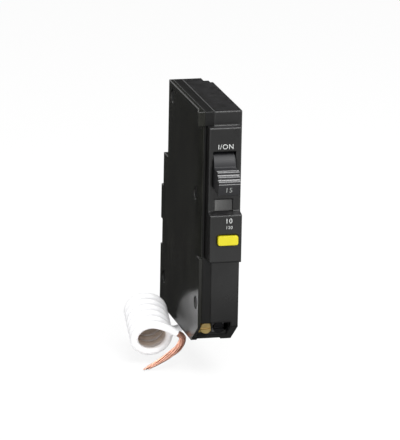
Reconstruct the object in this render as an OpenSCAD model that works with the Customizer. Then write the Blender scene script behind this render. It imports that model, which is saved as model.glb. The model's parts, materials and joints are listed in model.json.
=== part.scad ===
// One-pole plug-on ground-fault breaker with a wound neutral pigtail.
// Places are written as x (right), depth (from the rear rest face) and height (from the load end).
// The origin is on the rear rest face at its mid height, the front looks along -Y and the line end is up.

/* [Case] */
// Width across the three mouldings
case_w = 19.05; // [18.6:0.05:22]
// Height from the load end to the line end
case_h = 104; // [103:0.5:112]
// Depth from the rear rest face to the front shoulder
case_d = 71; // [66:0.5:76]
// Width of the left side cover with its shoulder
cover_w = 3; // [2.8:0.1:3.4]
// How far the shoulder stands out to the left of the side
shoulder_out = 1.4; // [1:0.1:1.6]
// Width of the middle frame
frame_w = 3.9; // [3.4:0.1:4.4]
// Thickness of the rim walls
wall = 1.8; // [1.4:0.1:2]
// Thickness of the right side wall
side_wall = 1.6; // [1.4:0.1:1.8]
// Thickness of the web beside the mechanism
web_t = 1.2; // [1:0.1:1.4]
// Height of the chamfer at the front of the load end
chamfer_h = 8.7; // [7:0.1:10]
// Depth of the chamfer at the front of the load end
chamfer_d = 12; // [10:0.1:13]
// Height of the set-back line end
line_h = 34.5; // [33:0.5:38]
// Height of the rail notch
notch_h = 11.5; // [8:0.5:14]
// Depth of the rail notch
notch_d = 2.7; // [1:0.1:3]
// Height of the rear rest face
rest_h = 15.5; // [14:0.5:18]
// Depth of the step above the rest face
step_d = 3.4; // [2:0.1:5]
// Height of the step above the rest face
step_h = 15; // [13:0.5:16]
// Set-back of the line end, where the bus stab enters
line_d = 11; // [9:0.2:12]
// Width of the cut at the right rear corner of the line end
corner_w = 3.4; // [2:0.1:4]
// Length of that corner cut
corner_len = 8; // [5:0.1:10]
// Diameter of the rivet shanks
rivet_dia = 3; // [2.4:0.1:3.4]
// Diameter of the rivet recesses
rivet_recess_dia = 5.4; // [5:0.1:6]
// Depth of the rivet recesses
rivet_recess = 1.1; // [0.6:0.1:1.2]

/* [Escutcheon] */
// How far the escutcheon stands in front of the shoulder
esc_step = 4; // [3:0.1:5]
// How far the test section stands in front of the shoulder
test_step = 8; // [7:0.1:9]
// Width of the escutcheon
esc_w = 13.8; // [13.4:0.1:14.2]
// Set-back of the escutcheon from the right side
esc_inset = 1.2; // [0.8:0.1:1.6]
// Height of the shoulder above the escutcheon
shoulder_h = 6.3; // [5:0.1:7]
// Height of the escutcheon and the test section together
esc_h = 58; // [56:0.5:60]
// Height of the test section
test_h = 20.7; // [20:0.1:22]
// Drop of the sloped ledge above the test section
ledge_drop = 1; // [0.5:0.1:1.5]
// Thickness of the escutcheon moulding behind the shoulder
esc_back = 5.5; // [5:0.1:6]
// Set-back of the strip left of the escutcheon
strip_set = 1; // [0.6:0.1:1.4]
// Width of the finger bevel on the side cover
bevel_w = 1.2; // [0.8:0.1:1.4]
// Depth of the finger bevel on the side cover
bevel_d = 5.4; // [4:0.1:6]
// Height of the sloped end of the finger bevel
bevel_end = 4; // [2:0.1:6]

/* [Handle] */
// Width of the handle
handle_w = 9.5; // [8.5:0.1:10]
// Radius of the handle drum
drum_r = 9.3; // [8.8:0.1:9.6]
// Distance of the handle pivot behind the escutcheon face
pivot_back = 7.5; // [7:0.1:8]
// Distance of the handle pivot below the top of the escutcheon
pivot_drop = 18.7; // [18:0.1:19.5]
// Reach of the handle tip from its pivot
tip_reach = 17.4; // [16:0.1:18.4]
// Diameter of the handle pin
handle_pin_dia = 3; // [2.4:0.1:3.4]
// Height of the slot above the pivot
slot_up = 8.4; // [8:0.1:9]
// Height of the slot below the pivot
slot_down = 7.2; // [7:0.1:8]
// Swing of the handle from off to on, in degrees
handle_swing = 30; // [20:1:30]

/* [Window and test button] */
// Width of the indicator window
window_w = 7.8; // [6:0.1:8]
// Height of the indicator window
window_h = 5; // [4:0.1:5.4]
// Height of the window above the test section
window_rise = 1; // [0.6:0.1:1.4]
// Travel of the trip flag
flag_travel = 6; // [5.6:0.1:6.2]
// Width of the test button
button_w = 8.8; // [7:0.1:9.4]
// Height of the test button
button_h = 4.1; // [3.4:0.1:4.4]
// Corner radius of the test button
button_r = 0.9; // [0.4:0.1:1.4]
// How far the test button stands out
button_out = 1.2; // [0.8:0.1:2]
// Height of the test button centre above the foot of the test section
button_rise = 9.9; // [9:0.1:10.4]
// Set-off of the test button to the right of the escutcheon centre
button_off = 0.8; // [0:0.1:1]
// Travel of the test button
button_travel = 2; // [1:0.1:2]

/* [Mechanism] */
// Distance from the handle pivot to the arm pivot
arm_throw = 9.8; // [9.4:0.1:10.2]
// Length of the contact arm
arm_len = 23; // [22:0.1:24]
// Thickness of the contact arm
arm_t = 2; // [1.6:0.1:2.2]
// Opening swing of the contact arm, in degrees
arm_swing = 23; // [18:1:26]
// Diameter of the contacts
contact_dia = 5; // [4:0.1:5.4]
// Thickness of the trip lever and its layer
lever_t = 1.2; // [1:0.1:1.4]
// Gap of the line jaw at its bridge
jaw_gap = 2.6; // [2.4:0.1:3]
// Thickness of the jaw leaves
jaw_t = 1; // [0.8:0.1:1.2]
// Distance of the line jaw below the line end
jaw_drop = 9.5; // [8:0.5:12]
// Thickness of the armature plate
armature_t = 1; // [0.8:0.1:1.2]
// Thickness of the bimetal strip
bimetal_t = 0.8; // [0.6:0.1:1]

/* [Electronics] */
// Thickness of the circuit board
board_t = 1.2; // [1:0.1:1.6]
// Outer diameter of the two current cores
core_dia = 12.4; // [11.6:0.2:12.4]
// Bore of the two current cores
core_bore = 6.5; // [6:0.1:7]
// Height of each current core
core_h = 6; // [5:0.1:6.4]
// Diameter of the solenoid bobbin flanges
bobbin_dia = 8.2; // [7:0.1:8.6]
// Diameter of the solenoid plunger
plunger_dia = 3; // [2.4:0.1:3]
// Diameter of the surge suppressor disc
surge_dia = 11; // [8:0.2:11]
// Diameter of the capacitors
capacitor_dia = 6.3; // [5:0.1:6.8]

/* [Terminals] */
// Width of each wire lug
lug_w = 5.2; // [4.8:0.1:5.4]
// Distance between the wire lugs
lug_pitch = 5.8; // [5.7:0.1:6.2]
// Diameter of the wire holes in the lugs
wire_bore = 4.2; // [3.4:0.1:4.3]
// Diameter of the terminal screw heads
screw_head_dia = 4.8; // [4:0.1:5.2]
// Diameter of the terminal screw shanks
screw_dia = 2.6; // [2.4:0.1:3]
// Height of the terminal recess
recess_h = 10.7; // [10.2:0.1:12]
// Set-in of the terminal recess from both edges of the front
recess_wall = 2.6; // [2.2:0.1:3]

/* [Pigtail] */
// Diameter of the insulated pigtail
wire_dia = 3.5; // [3.2:0.1:3.55]
// Diameter of the bare copper end
copper_dia = 2.3; // [2:0.1:2.6]
// Radius of the wound loops at the middle of the wire
coil_r = 7.75; // [7.6:0.05:7.9]

/* [Fits] */
// Running clearance between pieces that move past each other
gap = 0.3; // [0.25:0.01:0.35]
// Radial clearance of pins in their holes
pin_gap = 0.05; // [0.02:0.01:0.08]

/* [Hidden] */
$fn = 48;

// Overshoot of every cut past the face it opens
past = 1;
// Overlap that joins two bodies of one moulding
weld = 0.01;
// Wall of a round boss, depth of a pin seat and the air at its end
boss_wall = 1.5;
pin_seat = 0.8;
pin_air = 0.1;

// Case places
left_x = -case_w / 2;
right_x = case_w / 2;
side_x = left_x + shoulder_out;
seam_cover = left_x + cover_w;
seam_base = seam_cover + frame_w;
web_x = seam_cover + web_t;
floor_x = right_x - side_wall;
line_z = case_h - line_h;
rest_top = line_z - step_h;
notch_top = rest_top - rest_h;
notch_z = notch_top - notch_h;
rest_z = notch_top + rest_h / 2;
line_in = line_d + wall;
front_in = case_d - wall;
chamfer_len = norm([chamfer_d, chamfer_h]);
rivet_boss_dia = rivet_dia + 2 * boss_wall;
rivet_sink = 0.3;
corner_drop = 1.2;
rib_t = 2;
web_drop = 4.5;
web_z = rest_top - web_drop;

// Escutcheon places
esc_x1 = right_x - esc_inset;
esc_x0 = esc_x1 - esc_w;
esc_mid = (esc_x0 + esc_x1) / 2;
esc_face = case_d + esc_step;
test_face = case_d + test_step;
esc_in = case_d - esc_back;
esc_top = case_h - shoulder_h;
test_z = esc_top - esc_h;
test_top = test_z + test_h;
strip_d = case_d - strip_set;
shoulder_lip = 1.2;
shoulder_back = 6;

// Rivets as [depth, height]: line end, beside the handle, above the recess and at the rear
rivet_line = [6.5, 5.7];
rivet_middle = [9, 31.2];
rivet_front = [5, 19];
rivet_rear = [7, 14];
rivet_points = [[line_d + rivet_line[0], case_h - rivet_line[1]],
    [case_d - rivet_middle[0], esc_top - rivet_middle[1]],
    [case_d - rivet_front[0], rivet_front[1]], rivet_rear];

// Handle places
pivot = [esc_face - pivot_back, esc_top - pivot_drop];
handle_shift = 0.25;
handle_x0 = esc_mid - handle_w / 2 - handle_shift;
handle_x1 = handle_x0 + handle_w;
tip_slope = [3.7, 1.7];
tip_drop = 3.6;
tip_heel = [1.3, 8.7];
tip_top = pivot + [tip_reach - tip_slope[0], tip_slope[1]];
tip_front = pivot + [tip_reach, -tip_drop];
tip_under = pivot + [tip_reach - tip_heel[0], -tip_heel[1]];
ridge_dia = 1.5;
ridge_count = 3;
thumb_r = 4.2;
thumb_sink = 0.5;
thumb_mid = [(pivot[0] + drum_r + tip_top[0]) / 2, tip_top[1] + thumb_r - thumb_sink];
tip_root = [pivot + [6, 6.6], pivot + [10, 3]];
tip_base = pivot + [6.5, -6.6];
crank_half = 2;
crank_root = [pivot - [4, 6], pivot + [0, 7]];
fork_d = pivot[0] - 5;
fork_half = 12;

// Window and button places
window_x = handle_x0 + handle_w / 2;
window_z = test_top + window_rise;
window_face = esc_face - gap;
window_t = 1.3;
lens_back = window_face - window_t;
lens_flange = 0.8;
lens_flange_t = 1;
flag_t = 1;
flag_behind = 2.5;
flag_d = lens_back - flag_behind;
flag_top = window_z - 2 * gap;
flag_h = flag_travel + 2 * gap;
flag_room = max(window_z + window_h + lens_flange, flag_top + flag_travel) + gap;
flag_w = window_w + 2 * lens_flange + gap;
button_x = esc_mid + button_off;
button_z = test_z + button_rise;
button_face = test_face + button_out;
flange_behind = 4;
spring_floor = esc_in + 1.5;
stem_hole = 0.5;
flange_d = test_face - flange_behind;
flange_t = 1.4;
flange_rim = 0.6;
stem_w = 3;
stem_h = 2.2;
stem_out = 0.9;
button_spring_dia = 4.8;
button_spring_wire = 0.45;
button_spring_loops = 4;
leaf_t = 0.8;
leaf_h = 7;
leaf_foot = 3;
stem_end = esc_in - stem_out;

// Mechanism places
arm_x = window_x;
arm_pivot = pivot + arm_throw * [cos(180 - handle_swing / 2), sin(180 - handle_swing / 2)];
arm_pivot_on = pivot + arm_throw * [cos(180 + handle_swing / 2), sin(180 + handle_swing / 2)];
arm_lean = 27;
arm_tip_on = arm_pivot_on + arm_len * [cos(180 + arm_lean), sin(180 + arm_lean)];
arm_width = 4;
arm_pin_dia = 1.5;
arm_pin_set = 1;
contact_t = 1.4;
contact_out = 1.8;
contact_z = arm_tip_on[1];
contact_face = arm_tip_on[0] - contact_out;
fixed_d = contact_face - gap - contact_t;
jaw_bridge_d = fixed_d - jaw_t;
jaw_set = 0.4;
jaw_rise = 5.5;
jaw_pinch_d = 4;
jaw_clip_d = 2;
jaw_clip_z = 4;
jaw_foot = 0.5;
jaw_mouth_d = line_in + jaw_set;
jaw_z = line_z + jaw_rise;
jaw_h = case_h - jaw_drop - jaw_z;
jaw_pinch = 0.9;
jaw_flare = 2;
jaw_outer = jaw_gap / 2 + jaw_t;
jaw_spring_t = 0.7;
jaw_spring_z = jaw_z + jaw_clip_z;
jaw_spring_h = jaw_h - 2 * jaw_clip_z;
stab_slot_w = 2 * jaw_flare;
clip_half = jaw_outer + gap;
lever_x = handle_x1 - lever_t - gap;
lever_pivot_back = 25.5;
lever_pivot_drop = 9;
lever_pivot = [pivot[0] - lever_pivot_back, case_h - lever_pivot_drop];
lever_pin_dia = 2.4;
lever_pin_out = 0.6;
armature_back = 16.9;
armature_drop = 4;
armature_d = pivot[0] - armature_back;
armature_z = rest_top - armature_drop;
armature_h = 16.5;
lever_tip_gap = 1.2;
lever_tip_rise = 11.5;
lever_tip = [armature_d - gap - lever_tip_gap, armature_z + lever_tip_rise];
lever_width = 2.4;
lever_hook = lever_pivot + (lever_tip - lever_pivot) * 0.42;
hook_dia = 1;
yoke_left = 1.75;
yoke_right = 4.45;
yoke_x0 = arm_x - yoke_left;
yoke_x1 = arm_x + yoke_right;
yoke_t = 1;
yoke_air = 0.9;
yoke_d = armature_d + armature_t + yoke_air;
yoke_reach = 5.3;
yoke_rise = 5.5;
yoke_z = armature_z + yoke_rise;
yoke_h = 8;
strap_behind = 2.4;
strap_d = armature_d + strap_behind;
strap_w = 4;
strap_t = 1;
foot_z = armature_z - gap;
bimetal_h = 17.8;
bimetal_in = 1.5;
bimetal_d = strap_d + bimetal_in;
spring_side = 1.1;
spring_x = lever_x - spring_side;
toggle_r = 0.65;
toggle_wire = 0.4;
toggle_loops = 9;
toggle_top = lever_hook - [0, 0.8];
toggle_bottom = [lever_hook[0] + 0.5, contact_z + 2.2];
spring_steps = 8;
braid_dia = 1.8;
calibration_dia = 2.4;
calibration_out = 1.5;

// Electronics places
core_d = strap_d + strap_w / 2;
core_z = 20;
core_shelf_t = 1.8;
core_shelf_half = 5;
core_shelf_set = 1;
board_air = 0.1;
board_x = seam_cover + board_air;
board_face = board_x + board_t;
board_d0 = 11;
board_d1 = core_d - 8;
board_z0 = 6;
board_z1 = web_z - 4;
post_dia = 5;
post_edge = 3.5;
post_top_in = 5;
board_posts = [[board_d1 - post_top_in, board_z1 - post_edge], [board_d1 - post_edge, board_z0 + post_edge]];
// Parts on the board: middle or corner as [depth, height]
chip_corner = [board_d0 + 1, board_z0 + 10];
chip_size = [2, 6, 10];
capacitor_depths = [board_d0 + 5, board_d0 + 12.4];
capacitor_z = board_z0 + 25;
capacitor_len = 7;
resistor_start = [board_d0 + 2, board_z0 + 1.4];
resistor_dia = 1.8;
resistor_len = 7;
resistor_pitch = 2.2;
resistor_count = 4;
surge_place = [board_d1 - 7, board_z0 + 15.5];
surge_t = 4;
solenoid_side = 5.7;
solenoid_rise = 2;
solenoid_front = 4.1;
solenoid_x = floor_x - solenoid_side;
solenoid_z = armature_z + solenoid_rise;
solenoid_len = 19;
solenoid_d1 = armature_d - solenoid_front;
solenoid_d0 = solenoid_d1 - solenoid_len;
plate_t = 1.2;
plate_half = bobbin_dia / 2 + 0.4;
plate_x = floor_x - 0.1;
plate_z0 = solenoid_z - plate_half;
plate_z1 = solenoid_z + plate_half;
bobbin_t = 1;
spool_dia = plunger_dia + 1.6;
winding_dia = bobbin_dia - 0.6;
plunger_head_d = armature_d - 1.4;
plunger_end = armature_d - 2 * gap;
plunger_set = 6;
plunger_start = solenoid_d0 + plunger_set;
plunger_spring_wire = 0.4;
plunger_spring_loops = 3;

// Terminal places
recess_shift = 0.6;
recess_x0 = left_x + recess_wall;
recess_x1 = right_x - recess_wall - recess_shift;
recess_in = 7.6;
recess_d = case_d - recess_in;
roof_t = 1.5;
lug_rise = 2.7;
lug_z = wall + lug_rise;
lug_h = 8.4;
lug_back = 0.5;
lug_d = core_d - lug_back;
lug_len = recess_d - gap - lug_d;
lug_mid = (recess_x0 + recess_x1) / 2;
lug_wall = 1.2;
wire_d = lug_d + wire_bore / 2 + lug_wall;
screw_z = 6.9;
screw_head_t = 2.2;
screw_slot_w = 0.8;
screw_slot_d = 1;
screw_tip = 0.1;
strap_off = 0.8;
strap_foot_t = 1.2;
neutral_rise = 3.2;
neutral_top = core_z + 2 * core_h + gap + neutral_rise;
relief_neck = wire_dia + 2.6;
relief_lip = 1.4;
relief_out = 2;
relief_in = 1.6;
lead_x = 1;
lead_d = 10;

// Pigtail route, [x, depth, height], from the neutral joint inside to the first loop
lead_route = [[1, 10, 7], [1, 10, 3.5], [1, 10, 0], [1, 10, -3.5], [0.6, 10.6, -6], [-0.9, 11.8, -8],
    [-3.6, 13.8, -8.6], [-6.5, 16, -7.9], [-9.2, 18, -6.5]];
// Middle of the rear loop and of the front loop
coil_rear = [-19.6, 20.8, 3.7];
coil_front = [-21.3, 42.4, -3.8];
coil_loops = 5.5;
coil_steps = 24;
// Angle and growth of the last, loosened part of the winding
tail_angle = 52;
tail_steps = 5;
tail_grow = 1.6;
tail_rise = 0.055;
// Bare end, [x, depth, height], from where the insulation stops to its tip
copper_route = [[-8.7, 46.4, -3.5], [-10, 46.7, -6.2], [-12.8, 47, -8.7], [-16.6, 47.4, -11],
    [-20.8, 47.8, -13.2], [-26.2, 48.2, -15.6]];
tube_sides = 8;
coil_sides = 6;

// Helpers

// Puts a place of the case into the part's frame
function place(p) = [p[0], -p[1], p[2] - rest_z];
function unit(v) = v / norm(v);
function along(p, i) = unit(p[min(i + 1, len(p) - 1)] - p[max(i - 1, 0)]);
// Corners of one ring of a tube, square to its path
function ring(p, i, r, n, side) =
    let (t = along(p, i), a = unit(cross(t, side)), b = cross(t, a))
    [for (k = [0:n - 1]) p[i] + r * (cos(360 * k / n) * a + sin(360 * k / n) * b)];
function wall_faces(i, n) =
    [for (k = [0:n - 1]) let (a = i * n + k, b = i * n + (k + 1) % n)
        each [[a, b, b + n], [a, b + n, a + n]]];
function cap_faces(first, n, turn) =
    [for (k = [1:n - 2]) turn > 0 ? [first, first + k + 1, first + k] : [first, first + k, first + k + 1]];

// Sweeps a round tube along a path in the part's frame
module tube(path, dia, n, side) {
    last = len(path) - 1;
    corners = [for (i = [0:last]) each ring(path, i, dia / 2, n, side)];
    walls = [for (i = [0:last - 1]) each wall_faces(i, n)];
    polyhedron(corners, concat(walls, cap_faces(0, n, 1), cap_faces(last * n, n, -1)));
}
// Extrudes a side view, drawn as [depth, height], across the width
module slab(x0, x1) {
    translate([x0, 0, -rest_z]) mirror([0, 1, 0]) rotate([90, 0, 90])
        linear_extrude(height = x1 - x0) children();
}
// Extrudes a front view, drawn as [x, height], along the depth
module relief(d0, d1) {
    translate([0, -d0, -rest_z]) rotate([90, 0, 0]) linear_extrude(height = d1 - d0) children();
}
// Extrudes a top view, drawn as [x, depth], along the height
module plan(z0, z1) {
    translate([0, 0, z0 - rest_z]) mirror([0, 1, 0]) linear_extrude(height = z1 - z0) children();
}
module block(x0, x1, d0, d1, z0, z1) {
    translate([x0, -d1, z0 - rest_z]) cube([x1 - x0, d1 - d0, z1 - z0]);
}
module rod_x(x0, x1, p, dia) {
    slab(x0, x1) translate(p) circle(d = dia);
}
module rod_y(x, z, d0, d1, dia) {
    relief(d0, d1) translate([x, z]) circle(d = dia);
}
module rod_z(x, d, z0, z1, dia) {
    plan(z0, z1) translate([x, d]) circle(d = dia);
}
module rounded(w, h, r) {
    square([w - 2 * r, h], center = true);
    square([w, h - 2 * r], center = true);
    for (sx = [-1, 1], sy = [-1, 1]) translate([sx * (w / 2 - r), sy * (h / 2 - r)]) circle(r);
}
// A bar with round ends between two places of a side view
module bar(a, b, w) {
    turn = atan2(b[1] - a[1], b[0] - a[0]);
    translate(a) circle(d = w);
    translate(b) circle(d = w);
    translate(a) rotate(turn) translate([0, -w / 2]) square([norm(b - a), w]);
}
// Turns a side view of the closed contact arm into its open rest position
module arm_open() {
    translate(arm_pivot) rotate(arm_swing) translate(-arm_pivot_on) children();
}
// A round wire spring along the depth
module coil_spring(x, z, d0, d1, dia, wire, loops) {
    last = loops * spring_steps;
    r = (dia - wire) / 2;
    turns = [for (i = [0:last]) let (a = i * 360 / spring_steps)
        place([x + r * cos(a), d0 + wire / 2 + (d1 - d0 - wire) * i / last, z + r * sin(a)])];
    tube(turns, wire, coil_sides, [0, 1, 0]);
}

// Outline of the case in side view, set in by the given amount
function case_outline(set) = [[set, set], [set, notch_z - set], [notch_d + set, notch_z - set],
    [notch_d + set, notch_top + set], [set, notch_top + set], [set, rest_top - set],
    [step_d + set, rest_top - set], [step_d + set, line_z - set], [line_d + set, line_z - set],
    [line_d + set, case_h - set], [case_d - set, case_h - set],
    [case_d - set, chamfer_h + set * (chamfer_len - chamfer_h) / chamfer_d],
    [case_d - chamfer_d - set * (chamfer_len - chamfer_d) / chamfer_h, set]];

// Cuts and bosses that the mouldings share

module rim(x0, x1) {
    difference() {
        slab(x0, x1) polygon(case_outline(0));
        slab(x0 - past, x1 + past) polygon(case_outline(wall));
    }
}
module rivet_bosses(x0, x1) {
    for (p = rivet_points) rod_x(x0, x1, p, rivet_boss_dia);
}
// Ribs that tie the two lower bosses to the rim
module rivet_ribs(x0, x1) {
    front = rivet_points[2];
    rear = rivet_points[3];
    block(x0, x1, front[0], case_d, front[1] - rib_t / 2, front[1] + rib_t / 2);
    block(x0, x1, 0, rear[0], rear[1] - rib_t / 2, rear[1] + rib_t / 2);
}
module rivet_holes() {
    for (p = rivet_points) {
        rod_x(left_x - past, right_x + past, p, rivet_dia + 2 * pin_gap);
        rod_x(left_x - past, side_x + rivet_recess, p, rivet_recess_dia);
        rod_x(right_x - rivet_recess, right_x + past, p, rivet_recess_dia);
    }
}
module recess_roof(x0, x1) {
    block(x0, x1, recess_d, front_in + wall / 2, recess_h, recess_h + roof_t);
}
module terminal_recess() {
    reach = wire_bore / 2 + gap;
    block(recess_x0, recess_x1, recess_d, case_d + past, -past, recess_h);
    block(lug_mid - lug_pitch / 2 - reach, lug_mid + lug_pitch / 2 + reach, wire_d - reach, wire_d + reach,
        -past, lug_z);
    block(lug_mid - (lug_pitch + lug_w) / 2, lug_mid + (lug_pitch + lug_w) / 2, lug_d, recess_d,
        lug_z, lug_z + lug_h);
}
module terminal_floor(x0, x1) {
    intersection() {
        block(x0, x1, lug_d, recess_d + wall, wall / 2, lug_z);
        slab(x0, x1) polygon(case_outline(wall / 2));
    }
}
module front_strip(x0, x1) {
    block(x0, x1, strip_d, case_d + past, test_z, esc_top);
}

// Mouldings

module base_case() color("#232326") difference() {
    union() {
        difference() {
            slab(seam_base, right_x) polygon(case_outline(0));
            slab(seam_base - past, floor_x) polygon(case_outline(wall));
        }
        slab(esc_x0, esc_x1) polygon([[esc_in, test_z], [test_face, test_z], [test_face, test_top],
            [esc_face, test_top + ledge_drop], [esc_face, esc_top], [esc_in, esc_top]]);
        rivet_bosses(seam_base, floor_x);
        recess_roof(seam_base, floor_x);
        terminal_floor(seam_base, floor_x);
        intersection() {
            block(recess_x1, floor_x, lug_d, front_in, wall, recess_h + roof_t);
            slab(seam_base, floor_x) polygon(case_outline(wall / 2));
        }
        rod_x(handle_x1 + gap, floor_x, pivot, handle_pin_dia + 2 * boss_wall);
        rod_x(lever_x + lever_t + gap, floor_x, lever_pivot, lever_pin_dia + 2 * boss_wall);
        for (p = board_posts) rod_x(board_face, floor_x, p, post_dia);
        block(arm_x + clip_half + jaw_spring_t + gap, floor_x, jaw_mouth_d + jaw_clip_d, jaw_bridge_d,
            jaw_z, jaw_z + jaw_h);
        block(arm_x - jaw_outer, floor_x, jaw_mouth_d, jaw_bridge_d, jaw_z - gap - wall, jaw_z - gap);
        block(yoke_x1, floor_x, yoke_d + yoke_t, yoke_d + yoke_reach,
            yoke_z + yoke_t, yoke_z + yoke_h - yoke_t);
        block((core_bore + core_shelf_set) / 2, floor_x, core_d - core_shelf_half, core_d + core_shelf_half,
            core_z - core_shelf_t, core_z);
    }
    rod_x(handle_x0 - gap, handle_x1 + gap, pivot, 2 * (drum_r + gap));
    block(handle_x0 - gap, handle_x1 + gap, pivot[0], esc_face + past,
        pivot[1] - slot_down, pivot[1] + slot_up);
    rod_x(esc_x0 - past, floor_x + pin_seat, pivot, handle_pin_dia + 2 * pin_gap);
    rod_x(lever_x, floor_x + pin_seat, lever_pivot, lever_pin_dia + 2 * pin_gap);
    block(window_x - window_w / 2 - gap / 2, window_x + window_w / 2 + gap / 2, esc_in, esc_face + past,
        window_z - gap / 2, window_z + window_h + gap / 2);
    block(window_x - flag_w / 2 - gap, window_x + flag_w / 2 + gap, esc_in - past, lens_back,
        flag_top - flag_h - gap, flag_room);
    relief(flange_d, test_face + past) translate([button_x, button_z])
        rounded(button_w + 2 * gap, button_h + 2 * gap, button_r + gap);
    relief(spring_floor, flange_d + gap) translate([button_x, button_z])
        square([button_w + 2 * flange_rim + 2 * gap, button_h + 2 * flange_rim + 2 * gap], center = true);
    relief(esc_in - past, spring_floor + stem_hole) translate([button_x, button_z])
        square([stem_w + 2 * gap, stem_h + 2 * gap], center = true);
    block(arm_x - stab_slot_w / 2, arm_x + stab_slot_w / 2, line_d - past, line_in + past,
        jaw_z, jaw_z + jaw_h);
    rod_z(lead_x, lead_d, -past, wall + past, relief_neck);
    block(right_x - corner_w, right_x + past, line_d - past, line_d + corner_len,
        case_h - corner_drop, case_h + past);
    terminal_recess();
    rivet_holes();
}
module mid_frame() color("#1f1f22") difference() {
    union() {
        rim(seam_cover, seam_base);
        intersection() {
            slab(seam_cover, seam_base) polygon(case_outline(wall / 2));
            union() {
                block(seam_cover, web_x, 0, case_d, web_z, case_h);
                rivet_ribs(seam_cover, seam_base);
            }
        }
        rivet_bosses(seam_cover, seam_base);
        recess_roof(seam_cover, seam_base);
        terminal_floor(seam_cover, seam_base);
        rod_x(seam_cover, handle_x0 - gap, pivot, handle_pin_dia + 2 * boss_wall);
    }
    block(esc_x0, seam_base + past, esc_in, case_d + past, test_z, esc_top);
    front_strip(seam_cover - past, seam_base + past);
    rod_x(web_x - pin_seat, seam_base, pivot, handle_pin_dia + 2 * pin_gap);
    rod_x(handle_x0 - gap, seam_base + past, pivot, 2 * (drum_r + gap));
    terminal_recess();
    rivet_holes();
}
module side_cover() color("#1c1c1f") difference() {
    union() {
        slab(side_x, seam_cover) polygon(case_outline(0));
        plan(esc_top, case_h) polygon([[left_x, case_d], [left_x, case_d - shoulder_lip],
            [side_x + weld, case_d - shoulder_back], [side_x + weld, case_d]]);
    }
    front_strip(left_x - past, seam_cover + past);
    intersection() {
        plan(test_z, esc_top) polygon([[side_x - past, strip_d - bevel_d * (1 + past / bevel_w)],
            [side_x + bevel_w, strip_d], [side_x - past, strip_d]]);
        slab(side_x - past, seam_cover) polygon([[0, test_z], [case_d, test_z], [case_d, esc_top],
            [strip_d, esc_top], [strip_d - bevel_d, esc_top - bevel_end], [0, esc_top - bevel_end]]);
    }
    terminal_recess();
    rivet_holes();
}
module case_rivets() color("#3a3a3c") for (p = rivet_points) {
    rod_x(side_x + rivet_recess, right_x - rivet_recess, p, rivet_dia);
    rod_x(side_x + rivet_sink, side_x + rivet_recess, p, rivet_recess_dia - 4 * pin_gap);
    rod_x(right_x - rivet_recess, right_x - rivet_sink, p, rivet_recess_dia - 4 * pin_gap);
}

// Window, flag and test button

module trip_window() color("#6b6b6b") {
    half = window_w / 2;
    block(window_x - half, window_x + half, lens_back - weld, window_face, window_z, window_z + window_h);
    block(window_x - half - lens_flange, window_x + half + lens_flange, lens_back - lens_flange_t, lens_back,
        window_z - lens_flange, window_z + window_h + lens_flange);
}
module trip_flag() color("#c8281e") {
    block(window_x - flag_w / 2, window_x + flag_w / 2, flag_d, flag_d + flag_t, flag_top - flag_h, flag_top);
}
module test_button() color("#f5e432") {
    relief(flange_d - weld, button_face) translate([button_x, button_z])
        rounded(button_w, button_h, button_r);
    relief(flange_d - flange_t, flange_d) translate([button_x, button_z])
        square([button_w + 2 * flange_rim, button_h + 2 * flange_rim], center = true);
    relief(stem_end, flange_d) translate([button_x, button_z]) square([stem_w, stem_h], center = true);
}
module test_button_spring() color("silver") {
    coil_spring(button_x, button_z, spring_floor + button_travel + gap, flange_d - flange_t,
        button_spring_dia, button_spring_wire, button_spring_loops);
}
module test_contact_leaf() color("#c98b4b") {
    leaf_d = stem_end - button_travel - gap;
    leaf_top = button_z + stem_h;
    block(button_x - stem_w / 2, button_x + stem_w / 2, leaf_d - leaf_t, leaf_d, leaf_top - leaf_h, leaf_top);
    block(button_x - stem_w / 2, floor_x, leaf_d - leaf_t, leaf_d, leaf_top - leaf_h - leaf_foot / 2,
        leaf_top - leaf_h + leaf_foot / 2);
}

// Handle and contact arm

module handle() color("#2a2a2d") difference() {
    union() {
        rod_x(handle_x0, handle_x1, pivot, 2 * drum_r);
        rod_x(handle_x0, handle_x1, arm_pivot, arm_pin_dia + 2 * boss_wall);
        slab(handle_x0, handle_x1)
            polygon(concat([arm_pivot + [0, crank_half], arm_pivot - [0, crank_half]], crank_root));
        difference() {
            slab(handle_x0, handle_x1) polygon(concat(tip_root, [tip_top, tip_front, tip_under, tip_base]));
            rod_x(handle_x0 - past, handle_x1 + past, thumb_mid, 2 * thumb_r);
        }
        for (i = [0:ridge_count - 1])
            rod_x(handle_x0, handle_x1, tip_top + (tip_front - tip_top) * (i + 0.5) / ridge_count, ridge_dia);
    }
    rod_x(handle_x0 - past, handle_x1 + past, pivot, handle_pin_dia + 2 * pin_gap);
    rod_x(handle_x0 - past, handle_x1 + past, arm_pivot, arm_pin_dia + 2 * weld);
    block(arm_x - arm_t / 2 - gap, arm_x + arm_t / 2 + gap, 0, fork_d,
        pivot[1] - fork_half, pivot[1] + fork_half);
}
module handle_pin() color("silver") {
    rod_x(web_x - pin_seat + pin_air, floor_x + pin_seat - pin_air, pivot, handle_pin_dia);
}
module arm_pin() color("silver") {
    rod_x(handle_x0 + arm_pin_set, handle_x1 - arm_pin_set, arm_pivot, arm_pin_dia);
}
module contact_arm() color("#b87333") difference() {
    slab(arm_x - arm_t / 2, arm_x + arm_t / 2) arm_open() bar(arm_pivot_on, arm_tip_on, arm_width);
    rod_x(arm_x - arm_t, arm_x + arm_t, arm_pivot, arm_pin_dia + 2 * pin_gap);
    slab(arm_x - arm_t, arm_x + arm_t) arm_open() translate([contact_face - past, contact_z - arm_width])
        square([contact_t + past, 2 * arm_width]);
}
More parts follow.
